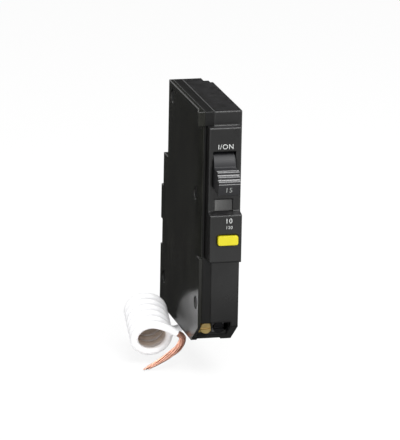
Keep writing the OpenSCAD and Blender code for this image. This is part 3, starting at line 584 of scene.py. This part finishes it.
@dataclass(frozen=True)
class Board(Finish):
    """Green solder mask over copper tracks, with tinned dots."""

    mask: RGB
    track: RGB
    tin: RGB

    PITCH: ClassVar[Point] = (1.0, 420.0, 420.0)
    TRACK_SCALE: ClassVar[float] = 0.7
    TRACK_SPAN: ClassVar[Span] = (0.62, 0.66)
    DOT_SCALE: ClassVar[float] = 1.1
    DOT_SPAN: ClassVar[Span] = (0.2, 0.16)
    ROUGHNESS: ClassVar[float] = 0.45
    DOT_POLISH: ClassVar[float] = 0.2
    RELIEF: ClassVar[Relief] = Relief(0.3, 0.00004)

    def paint(self, sheet: Sheet) -> None:
        """Fills the node sheet with tracks and dots."""
        at = sheet.stretched(sheet.place(), self.PITCH)
        cells = sheet.node("ShaderNodeTexVoronoi", {"distance": "MANHATTAN", "feature": "F2"},
                           {"Vector": at, "Scale": self.TRACK_SCALE})
        tracks = sheet.ramp(cells, self.TRACK_SPAN)
        spots = sheet.node("ShaderNodeTexVoronoi", None, {"Vector": at, "Scale": self.DOT_SCALE})
        dots = sheet.ramp(spots, self.DOT_SPAN)
        color = sheet.blend(dots, sheet.blend(tracks, self.mask, self.track), self.tin)
        sheet.surface(Base_Color=color, Roughness=self.ROUGHNESS - dots * self.DOT_POLISH, Metallic=dots,
                      Normal=sheet.bump(tracks + dots, self.RELIEF))


@dataclass(frozen=True)
class Taped(Finish):
    """Overlapping wraps of dark tape or fine wire round a core or bobbin."""

    color: RGB
    seam: RGB
    axis: Point
    pitch: float
    metallic: float = 0.0
    roughness: float = 0.5

    WAVER: ClassVar[float] = 0.6
    WAVER_DETAIL: ClassVar[float] = 2.0
    SEAM_SPAN: ClassVar[Span] = (0.75, 1.0)
    WRAP_ROUGHNESS: ClassVar[float] = 0.12
    RELIEF: ClassVar[Relief] = Relief(0.4, 0.00008)

    def paint(self, sheet: Sheet) -> None:
        """Fills the node sheet with the wraps."""
        at = sheet.stretched(sheet.place(), self.axis)
        wraps = sheet.node("ShaderNodeTexWave", {"wave_type": "BANDS", "bands_direction": "DIAGONAL"},
                           {"Vector": at, "Scale": self.pitch, "Distortion": self.WAVER,
                            "Detail": self.WAVER_DETAIL}, 1)
        sheet.surface(Base_Color=sheet.blend(sheet.ramp(wraps, self.SEAM_SPAN), self.color, self.seam),
                      Metallic=self.metallic, Roughness=self.roughness + wraps * self.WRAP_ROUGHNESS,
                      Normal=sheet.bump(wraps, self.RELIEF))


@dataclass(frozen=True)
class Print(Finish):
    """Pad-printed ink with worn specks."""

    color: RGB
    worn: RGB

    SPECKS: ClassVar[Noise] = Noise(5200.0, 3.0)
    SPECKS_SPAN: ClassVar[Span] = (0.62, 0.7)
    SPECKS_SHARE: ClassVar[float] = 0.5
    SPECKS_ROUGHNESS: ClassVar[float] = 0.1
    SPECKS_RELIEF: ClassVar[Relief] = Relief(0.2, 0.00001)
    ROUGHNESS: ClassVar[float] = 0.5

    def paint(self, sheet: Sheet) -> None:
        """Fills the node sheet with ink and worn specks."""
        specks = sheet.ramp(sheet.noise(sheet.place(), self.SPECKS), self.SPECKS_SPAN)
        sheet.surface(Base_Color=sheet.blend(specks * self.SPECKS_SHARE, self.color, self.worn),
                      Roughness=self.ROUGHNESS + specks * self.SPECKS_ROUGHNESS,
                      Normal=sheet.bump(specks, self.SPECKS_RELIEF))


CASE_BLACK = Moulded("case_black", (0.0045, 0.0045, 0.0044), (0.0066, 0.0066, 0.0065), 0.3, dust=0.38,
                     dust_color=(0.075, 0.072, 0.08), specular=0.56, edge=0.0011)
FRAME_BLACK = Moulded("frame_black", (0.0040, 0.0040, 0.0039), (0.0060, 0.0060, 0.0058), 0.32, dust=0.10,
                      dust_color=(0.06, 0.06, 0.06), specular=0.28, edge=0.0008)
COVER_BLACK = Moulded("cover_black", (0.0048, 0.0050, 0.0036), (0.0135, 0.0138, 0.0105), 0.2, dust=0.10,
                      grain_depth=0.000006, dust_color=(0.08, 0.08, 0.08), specular=0.36, edge=0.0008)
HANDLE_BLACK = Thumbed("handle_black", (0.0070, 0.0070, 0.0085), (0.0095, 0.0095, 0.0115), 0.25, dust=0.06,
                       specular=0.34, edge=0.0006)
YELLOW = Moulded("button_yellow", (0.475, 0.415, 0.007), (0.51, 0.45, 0.010), 0.38, dust=0.04,
                 dust_color=(0.4, 0.35, 0.1), specular=0.35, edge=0.0006)
WHITE_INK = Print("white_ink", (0.46, 0.47, 0.46), (0.20, 0.20, 0.20))
# ink of the amps number on the handle's end, painted dark grey as shade since that face lies in shadow
SHADED_END_INK = Print("shaded_end_ink", (0.20, 0.21, 0.20), (0.09, 0.09, 0.09))
WHITE_VINYL = Insulation("white_vinyl", (0.90, 0.90, 0.91), (0.78, 0.76, 0.74))
BARE_COPPER = Metal("bare_strands", (0.80, 0.46, 0.35), (0.42, 0.18, 0.11), 0.32, EVEN, 0.6)

SLOT_FINISHES: dict[str, Finish] = {
    "case_black": CASE_BLACK,
    "rivet_steel": Metal("rivet_steel", (0.045, 0.045, 0.047), (0.02, 0.02, 0.02), 0.42, EVEN),
    "handle_black": HANDLE_BLACK,
    "window_grey": Lens("window_grey", (0.042, 0.042, 0.041), (0.133, 0.133, 0.131), -0.0027, 0.0051),
    "button_yellow": YELLOW,
    "flag_red": Moulded("flag_red", (0.55, 0.025, 0.015), (0.62, 0.035, 0.02), 0.5),
    "pin_steel": Metal("pin_steel", (0.56, 0.56, 0.58), (0.30, 0.30, 0.31), 0.26),
    "magnet_steel": Metal("magnet_steel", (0.38, 0.39, 0.41), (0.20, 0.19, 0.18), 0.38, (1.0, 1.0, 0.05)),
    "tinned_copper": Metal("tinned_copper", (0.62, 0.62, 0.63), (0.36, 0.34, 0.32), 0.3, (1.0, 0.05, 1.0)),
    "contact_silver": Metal("contact_silver", (0.78, 0.77, 0.74), (0.35, 0.31, 0.26), 0.34, EVEN),
    "copper": Metal("copper", (0.66, 0.31, 0.17), (0.36, 0.15, 0.08), 0.32, (1.0, 1.0, 0.06)),
    "bimetal": Metal("bimetal", (0.50, 0.41, 0.27), (0.32, 0.26, 0.20), 0.34, (1.0, 1.0, 0.05)),
    "brass": Metal("brass", (0.80, 0.60, 0.25), (0.52, 0.36, 0.15), 0.4, (1.0, 1.0, 0.2), 0.4),
    "zinc": Metal("zinc", (0.36, 0.36, 0.38), (0.18, 0.17, 0.16), 0.36, (1.0, 1.0, 0.2)),
    "board_green": Board("board_green", (0.016, 0.115, 0.040), (0.030, 0.190, 0.060), (0.62, 0.62, 0.60)),
    "chip_black": Moulded("chip_black", (0.012, 0.012, 0.012), (0.018, 0.018, 0.018), 0.55),
    "capacitor_blue": Moulded("capacitor_blue", (0.020, 0.050, 0.230), (0.030, 0.070, 0.290), 0.32),
    "resistor_tan": Moulded("resistor_tan", (0.47, 0.34, 0.18), (0.56, 0.42, 0.24), 0.42),
    "core_grey": Taped("core_grey", (0.055, 0.055, 0.065), (0.025, 0.025, 0.030), (1.0, 1.0, 0.3), 320.0),
    "bobbin_white": Moulded("bobbin_white", (0.66, 0.62, 0.54), (0.74, 0.71, 0.64), 0.45),
    "relief_black": Moulded("relief_black", (0.014, 0.014, 0.014), (0.020, 0.020, 0.020), 0.55),
    "wire_white": WHITE_VINYL,
    "wire_copper": BARE_COPPER,
}
NODE_FINISHES: dict[str, Finish] = {
    "side_cover": COVER_BLACK,
    "mid_frame": FRAME_BLACK,
    # the neutral screw is painted near black as shade, since it stands in the dark terminal recess
    "neutral_screw": Metal("screw_in_shade", (0.030, 0.030, 0.032), (0.016, 0.015, 0.014), 0.4, (1.0, 1.0, 0.2)),
    "solenoid_winding": Taped("winding_copper", (0.52, 0.20, 0.09), (0.24, 0.08, 0.03), (0.1, 1.0, 0.1),
                              900.0, 1.0, 0.3),
    "flexible_braid": Taped("braid_copper", (0.60, 0.27, 0.15), (0.28, 0.11, 0.06), EVEN, 700.0, 1.0, 0.36),
}


def wear(piece: bpy.types.Object, finish: Finish) -> None:
    """Gives a piece one finish.

    Args:
        piece: the object to dress.
        finish: what it wears.
    """
    piece.data.materials.clear()
    piece.data.materials.append(finish.material())


def round_edges(piece: bpy.types.Object, width: float, segments: int) -> None:
    """Rounds the sharp edges of a piece without touching its mesh.

    Args:
        piece: the object to round.
        width: width of the rounding in metres.
        segments: steps across each rounding.
    """
    weld = piece.modifiers.new("weld", "WELD")
    weld.merge_threshold = WELD_DISTANCE
    flat = piece.modifiers.new("flatten", "DECIMATE")
    flat.decimate_type = "DISSOLVE"
    flat.angle_limit = math.radians(FLAT_ANGLE)
    bevel = piece.modifiers.new("round", "BEVEL")
    bevel.width = width
    bevel.segments = segments
    bevel.limit_method = "ANGLE"
    bevel.angle_limit = math.radians(SHARP_ANGLE)
    bevel.use_clamp_overlap = True
    bevel.miter_outer = "MITER_SHARP"
    even = piece.modifiers.new("even", "WEIGHTED_NORMAL")
    even.mode = "FACE_AREA"
    even.weight = FACE_WEIGHT
    even.keep_sharp = False
    for polygon in piece.data.polygons:
        polygon.use_smooth = True


def smooth_path(points: Sequence[Vector], steps: int) -> list[Vector]:
    """Runs a smooth curve through points.

    Args:
        points: places that the curve passes.
        steps: number of pieces between two places.

    Returns:
        The curve's points, from the first to the last.
    """
    ends = [2 * points[0] - points[1], *points, 2 * points[-1] - points[-2]]
    curve: list[Vector] = []
    for a, b, c, d in zip(ends, ends[1:], ends[2:], ends[3:]):
        for k in range(steps):
            t = k / steps
            curve.append(0.5 * (2 * b + t * (c - a) + t * t * (2 * a - 5 * b + 4 * c - d)
                                + t * t * t * (3 * b - a - 3 * c + d)))
    curve.append(points[-1].copy())
    return curve


def path_length(points: Sequence[Vector]) -> float:
    """Adds up the distances between points."""
    return sum((b - a).length for a, b in zip(points, points[1:]))


def round_wires(name: str, paths: Sequence[Sequence[Vector]], radius: float, sides: int) -> bpy.types.Object:
    """Makes a curve object with one round wire for each path.

    Args:
        name: name of the piece.
        paths: the middle lines.
        radius: radius of the wires.
        sides: bevel resolution.

    Returns:
        The new curve object, in the scene.
    """
    data = bpy.data.curves.new(name, "CURVE")
    data.dimensions = "3D"
    data.bevel_depth = radius
    data.bevel_resolution = sides
    data.use_fill_caps = True
    for path in paths:
        spline = data.splines.new("POLY")
        spline.points.add(len(path) - 1)
        for target, point in zip(spline.points, path):
            target.co = (*point, 1.0)
        spline.use_smooth = True
    return add_object(name, data)


def as_mesh(piece: bpy.types.Object) -> bpy.types.Object:
    """Turns a curve or words into a mesh piece of the same name.

    Args:
        piece: the curve or text object, which is removed.

    Returns:
        The mesh object.
    """
    name = piece.name
    bpy.context.view_layer.update()
    graph = bpy.context.evaluated_depsgraph_get()
    mesh = bpy.data.meshes.new_from_object(piece.evaluated_get(graph))
    mesh.transform(piece.matrix_world)
    bpy.data.objects.remove(piece)
    return add_object(name, mesh)


@dataclass
class CadDress:
    """Finishes and edge roundings, in millimetres, of the nodes that come from the frame."""

    nodes: Mapping[str, bpy.types.Object]
    roundings: dict[str, float] = field(default_factory=lambda: {
        "base_case": 0.40, "mid_frame": 0.22, "side_cover": 0.40, "case_rivets": 0.35, "trip_window": 0.18,
        "handle": 0.40, "test_button": 0.50, "load_screw": 0.22, "neutral_screw": 0.22, "load_lug": 0.2,
        "neutral_lug": 0.2, "strain_relief": 0.3, "line_jaw": 0.15, "jaw_spring": 0.1, "trip_lever": 0.12,
        "contact_arm": 0.2, "moving_contact": 0.25, "fixed_contact": 0.25, "armature": 0.1,
        "magnet_yoke": 0.15, "load_strap": 0.12, "neutral_strap": 0.12, "control_chip": 0.15,
        "capacitors": 0.4, "resistors": 0.3, "surge_disc": 0.6, "sense_core": 0.5, "ground_core": 0.5,
        "solenoid_frame": 0.15, "solenoid_bobbin": 0.15, "plunger": 0.2, "trip_flag": 0.15,
        "test_contact_leaf": 0.1, "handle_pin": 0.2, "arm_pin": 0.12, "calibration_screw": 0.2,
        "trip_lever_pin": 0.2, "circuit_board": 0.08, "bimetal": 0.08})
    segments: int = 2
    touched: tuple[str, ...] = ("handle", "test_button")
    touched_segments: int = 3

    def dress(self, slots: Mapping[str, str]) -> None:
        """Dresses every node.

        Args:
            slots: the record's material slot of each node.
        """
        for name, piece in self.nodes.items():
            wear(piece, NODE_FINISHES.get(name, SLOT_FINISHES[slots[name]]))
            if name in self.roundings:
                segments = self.touched_segments if name in self.touched else self.segments
                round_edges(piece, self.roundings[name] * MM, segments)
            LOG.info("dressed %s", name)


@dataclass(frozen=True)
class Sign:
    """A printed sign: the height of its capitals, and the place of its middle on the case."""

    name: str
    text: str
    capital: float
    middle: Point
    body: Body
    ink: Print


@dataclass
class Words:
    """Printed numbers and signs on the escutcheon and on the handle's end.

    The handle's end is given by the depth and height of its front and under edges.
    """

    front_signs: tuple[Sign, ...] = (
        Sign("sign_on", "I/ON", 0.0021, (0.0017, 0.075, 0.0894), Body.CASE, WHITE_INK),
        Sign("sign_breaking", "10", 0.0021, (0.0026, 0.079, 0.0579), Body.CASE, WHITE_INK),
        Sign("sign_volts", "120", 0.0013, (0.0028, 0.079, 0.0551), Body.CASE, WHITE_INK))
    tip_front: Span = (0.0849, 0.0754)
    tip_under: Span = (0.0836, 0.0703)
    tip_middle: float = 0.0010
    tip_capital: float = 0.0022
    ink_height: float = 0.00004
    spacing: float = 1.12
    capital_share: float = 0.7

    def build(self) -> None:
        """Prints every sign."""
        front = Matrix(((1, 0, 0), (0, 0, -1), (0, 1, 0)))
        for sign in self.front_signs:
            self.print_sign(sign, front)
        up = (Vector((0, -self.tip_front[0], self.tip_front[1]))
              - Vector((0, -self.tip_under[0], self.tip_under[1]))).normalized()
        across = Vector((1, 0, 0))
        end = Matrix((across, up, across.cross(up))).transposed()
        middle = (self.tip_middle, (self.tip_front[0] + self.tip_under[0]) / 2,
                  (self.tip_front[1] + self.tip_under[1]) / 2)
        # the amps number wears ink painted dark as shade
        self.print_sign(Sign("sign_amps", "15", self.tip_capital, middle, Body.HANDLE, SHADED_END_INK), end)

    def print_sign(self, sign: Sign, turn: Matrix) -> None:
        """Prints one sign.

        Args:
            sign: what is printed, and where.
            turn: axes of the sign: across, up and out.
        """
        data = bpy.data.curves.new(sign.name, "FONT")
        data.body = sign.text
        data.size = sign.capital / self.capital_share
        data.extrude = self.ink_height
        data.space_character = self.spacing
        data.align_x = "CENTER"
        data.align_y = "CENTER"
        words = add_object(sign.name, data)
        words.matrix_world = Matrix.Translation(place(sign.middle)) @ turn.to_4x4()
        piece = as_mesh(words)
        wear(piece, sign.ink)
        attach(piece, sign.body.value)
        LOG.info("printed %s", sign.name)


@dataclass
class Pigtail:
    """The neutral lead: out of its bush, round into the winding, and its bare stranded end."""

    diameter: float = 0.0035
    copper: float = 0.0023
    lead: tuple[Point, ...] = (
        (0.001, 0.010, -0.002), (0.001, 0.010, -0.0035), (0.0006, 0.0106, -0.006), (-0.0009, 0.0118, -0.008),
        (-0.0036, 0.0138, -0.0086), (-0.0065, 0.016, -0.0079), (-0.0092, 0.018, -0.0065))
    lead_steps: int = 5
    sides: int = 5
    rear: Point = (-0.0196, 0.0208, 0.0037)
    front: Point = (-0.0213, 0.0424, -0.0038)
    loops: float = 5.5
    steps: int = 48
    radius: float = 0.00775
    tail_angle: float = 52.0
    tail_steps: int = 10
    tail_grow: float = 0.0016
    tail_rise: float = 0.055
    bare: tuple[Point, ...] = (
        (-0.0087, 0.0464, -0.0035), (-0.01, 0.0467, -0.0062), (-0.0128, 0.047, -0.0087),
        (-0.0166, 0.0474, -0.011), (-0.0208, 0.0478, -0.0132), (-0.0262, 0.0482, -0.0156))
    bare_steps: int = 6
    bare_root: float = 0.001
    strands: int = 16
    strand_radius: float = 0.00026
    strand_sides: int = 2
    inner_strands: int = 6
    inner_ring: float = 0.00048
    outer_ring: float = 0.00092
    strand_turn: float = 2.39996
    twist: float = 4.2
    strand_wander: float = 0.00020
    strand_bulge: float = 0.45
    tip_draw: float = 0.45

    def winding(self) -> list[Vector]:
        """Gives the winding's middle line from its first loop to the end of its tail."""
        start = place(self.rear)
        run = place(self.front) - start
        axis = run.normalized()
        side = axis.cross(Vector((0, 0, 1))).normalized()
        up = side.cross(axis)
        if side.x > 0:
            side = -side

        def on_coil(turn: float, radius: float, share: float) -> Vector:
            """Gives a place on the winding for a turn in degrees."""
            angle = math.radians(turn)
            return start + run * share - up * radius * math.cos(angle) + side * radius * math.sin(angle)

        count = round(self.loops * self.steps)
        points = [on_coil(i * 360 / self.steps, self.radius, i / count) for i in range(count + 1)]
        for i in range(1, self.tail_steps + 1):
            share = i / self.tail_steps
            points.append(on_coil(360 * self.loops + self.tail_angle * share,
                                  self.radius + self.tail_grow * share ** 2, 1 + self.tail_rise * share))
        return points

    def build(self) -> None:
        winding = self.winding()
        entry = winding[0] + self.diameter * (winding[0] - winding[1]).normalized()
        before = entry + self.diameter * (entry - winding[0]).normalized()
        outward = (winding[-1] - winding[-2]).normalized()
        end = winding[-1] + self.diameter * outward
        lead = smooth_path([*(place(p) for p in self.lead), before, entry], self.lead_steps)
        path = [*lead, *winding, end]
        cord = round_wires("pigtail_cord", [path], self.diameter / 2, self.sides)
        start = place(self.rear)
        run = place(self.front) - start
        # the winding's vinyl carries painted shade within the coil
        wear(cord, Wound("wound_vinyl", WHITE_VINYL.color, WHITE_VINYL.grime, WHITE_VINYL.roughness,
                         tuple(start), tuple(run.normalized()), self.radius, run.length))
        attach(cord, Body.CASE.value)
        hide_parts("pigtail_lead", "pigtail_coil")
        strands = self.strand_bundle(end, outward)
        path_length(path)
        LOG.info("pigtail %.1f mm of insulated wire", path_length(path) / MM)

    def strand_bundle(self, end: Vector, outward: Vector) -> bpy.types.Object:
        """Builds the bare strands, twisted together, fuller in the middle and drawn in at their tips.

        Args:
            end: where the insulation stops.
            outward: direction of the wire there.

        Returns:
            The piece, riding on the case.
        """
        route = [end - outward * self.bare_root, end + outward * self.copper, *(place(p) for p in self.bare)]
        middle = smooth_path(route, self.bare_steps)
        paths = [self.strand_path(k, middle) for k in range(self.strands)]
        piece = as_mesh(round_wires("pigtail_strands", paths, self.strand_radius, self.strand_sides))
        wear(piece, BARE_COPPER)
        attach(piece, Body.CASE.value)
        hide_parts("pigtail_bare_end")
        LOG.info("pigtail ends in %d strands", self.strands)
        return piece

    def strand_path(self, number: int, middle: Sequence[Vector]) -> list[Vector]:
        """Gives one strand's middle line; the strands end at different lengths.

        Args:
            number: which strand; 0 runs in the middle.
            middle: middle line of the bundle.

        Returns:
            The strand's points.
        """
        ring = self.inner_ring if number < self.inner_strands else self.outer_ring
        if number == 0:
            ring = 0.0
        last = len(middle) - 1
        phase = number * self.strand_turn
        path: list[Vector] = []
        for i, point in enumerate(middle):
            share = i / last
            along = (middle[min(i + 1, last)] - middle[max(i - 1, 0)]).normalized()
            wide = along.cross(Vector((0, 1, 0))).normalized()
            deep = wide.cross(along)
            angle = phase + self.twist * share
            bulge = self.strand_bulge * math.sin(math.pi * share ** 0.8)
            spread = ring * (1.0 + bulge - self.tip_draw * share ** 4)
            spread += self.strand_wander * math.sin(phase * 3 + 9 * share) * share * (1.4 - share)
            path.append(point + wide * spread * math.cos(angle) + deep * spread * math.sin(angle))
        return path[:last - (number * 5) % 4 + 1]


@dataclass(frozen=True)
class Card:
    """A flat studio panel: a lamp when it has power, or a shaded card that only reflections see.

    A card that lies has its height counted from the floor.
    """

    name: str
    at: Point
    towards: Point
    size: Span
    watts: float = 0.0
    shade: float = 0.01
    lies: bool = False

    def build(self, level: float) -> None:
        """Hangs or lays the panel in the studio.

        Args:
            level: height of the floor.
        """
        turn = (Vector(self.towards) - Vector(self.at)).to_track_quat("-Z", "Y").to_matrix().to_4x4()
        lift = Vector((0.0, 0.0, level if self.lies else 0.0))
        panel = add_object(self.name, self.lamp() if self.watts else self.card())
        panel.matrix_world = Matrix.Translation(Vector(self.at) + lift) @ turn
        if not self.watts:
            panel.visible_camera = False
            panel.visible_diffuse = False
            panel.visible_shadow = False
            panel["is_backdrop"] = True
        LOG.info("set up %s", self.name)

    def lamp(self) -> bpy.types.Light:
        """Makes the lamp's soft light."""
        data = bpy.data.lights.new(self.name, "AREA")
        data.shape = "RECTANGLE"
        data.size, data.size_y = self.size
        data.energy = self.watts
        return data

    def card(self) -> bpy.types.Mesh:
        """Makes the card's flat mesh and its plain shade."""
        made, sheet = new_material(self.name)
        sheet.show(sheet.glow(self.shade))
        return flat_mesh(self.name, self.size, 0.0, made)


@dataclass
class Studio:
    """White floor and backdrop, soft lamps, shaded cards and the camera of the photograph."""

    azimuth: float = -13.72
    elevation: float = 15.13
    roll: float = 1.03
    distance: float = 2.0
    focal_px: float = 4560.0
    sensor: float = 36.0
    sight: float = 20.0
    aim: Point = (0.0, 0.009, 0.04425)
    aim_px: Span = (183.9, 210.1)
    floor_size: float = 6.0
    floor_drop: float = 0.0005
    floor_color: RGB = (0.86, 0.86, 0.86)
    floor_white: float = 0.85
    room_level: float = 0.5
    panels: tuple[Card, ...] = (
        Card("lamp_top", (0.05, -0.20, 1.20), (0.0, -0.05, 0.0), (1.4, 1.0), 7.0),
        Card("lamp_box", (0.10, -0.75, 0.85), (0.0, -0.08, 0.02), (0.7, 0.4), 11.0),
        Card("lamp_front", (-0.55, -1.1, 0.55), (0.0, -0.03, 0.0), (0.5, 0.7), 3.0),
        Card("lamp_right", (0.9, -0.6, 0.35), (0.0, -0.03, 0.0), (0.4, 0.8), 3.0),
        Card("card_left", (-0.32, 0.42, 0.02), (0.0, 0.42, 0.02), (0.5, 0.9), 0.0, 0.02),
        Card("card_low", (-0.25, 0.30, 0.0003), (-0.25, 0.30, 1.0), (0.5, 0.7), 0.0, 0.05, True),
        Card("card_near", (0.03, -0.0625, 0.0003), (0.03, -0.0625, 1.0), (0.34, 0.245), 0.0, 0.08, True),
        Card("card_far", (0.12, -0.56, 0.0003), (0.12, -0.56, 1.0), (0.5, 0.42), 0.0, 0.35, True),
        Card("card_rear", (0.42, 0.72, 0.52), (0.0, 0.0, 0.05), (0.9, 1.2), 0.0, 0.05))

    def build(self) -> None:
        """Builds the floor, the light and the camera."""
        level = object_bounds()[0][2] - self.floor_drop
        self.lay_floor(level)
        self.light_room()
        for panel in self.panels:
            panel.build(level)
        self.aim_camera()
        bpy.context.scene.view_settings.view_transform = "Standard"

    @staticmethod
    def seen_ray(sheet: Sheet) -> Wire:
        """Gives 1 for rays that show the background: camera, glossy and transmission."""
        path = [sheet.node("ShaderNodeLightPath", output=name)
                for name in ("Is Camera Ray", "Is Glossy Ray", "Is Transmission Ray")]
        return path[0].at_least(path[1]).at_least(path[2])

    def lay_floor(self, level: float) -> None:
        """Lays the pale floor.

        Args:
            level: its height, under the lowest point.
        """
        made, sheet = new_material("floor_white")
        matt = sheet.node("ShaderNodeBsdfDiffuse", None, {"Color": (*self.floor_color, 1.0)})
        seen = self.seen_ray(sheet) * self.floor_white
        sheet.show(sheet.node("ShaderNodeMixShader", None, {0: seen, 1: matt, 2: sheet.glow(1.0)}))
        add_object("floor", flat_mesh("floor", (self.floor_size, self.floor_size), level, made))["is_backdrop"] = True
        LOG.info("laid the floor")

    def light_room(self) -> None:
        """Fills the world: white where it is seen, softer where it lights."""
        world = bpy.data.worlds.new("studio")
        world.use_nodes = True
        bpy.context.scene.world = world
        sheet = Sheet(world.node_tree)
        level = self.room_level + self.seen_ray(sheet) * (1.0 - self.room_level)
        glow = sheet.node("ShaderNodeBackground", None, {"Color": WHITE, "Strength": level})
        sheet.show(glow, "ShaderNodeOutputWorld")

    def aim_camera(self) -> None:
        """Sets the camera so that its aim falls on that place's pixel of the photograph."""
        a, e, r = (math.radians(value) for value in (self.azimuth, self.elevation, self.roll))
        back = Vector((math.sin(a) * math.cos(e), -math.cos(a) * math.cos(e), math.sin(e)))
        right = Vector((math.cos(a), math.sin(a), 0))
        up = back.cross(right)
        across = right * math.cos(r) + up * math.sin(r)
        upward = up * math.cos(r) - right * math.sin(r)
        data = bpy.data.cameras.new("camera")
        data.shift_x = (IMAGE_SIZE[0] / 2 - self.aim_px[0]) / max(IMAGE_SIZE)
        data.shift_y = (self.aim_px[1] - IMAGE_SIZE[1] / 2) / max(IMAGE_SIZE)
        data.sensor_width = self.sensor
        data.lens = self.focal_px / max(IMAGE_SIZE) * data.sensor_width
        data.clip_end = self.sight
        camera = add_object("camera", data)
        camera.matrix_world = (Matrix.Translation(place(self.aim) + back * self.distance)
                               @ Matrix((across, upward, back)).transposed().to_4x4())
        bpy.context.scene.camera = camera


def main() -> None:
    """Builds the sub-assemblies in order."""
    logging.basicConfig(level=logging.INFO, format="%(name)s: %(message)s")
    slots = {entry["node"]: entry["material_slot"] for entry in frame["record"]["subparts"]}
    Pigtail().build()
    CadDress(frame["nodes"]).dress(slots)
    Words().build()
    Studio().build()


if __name__ == "__main__":
    main()
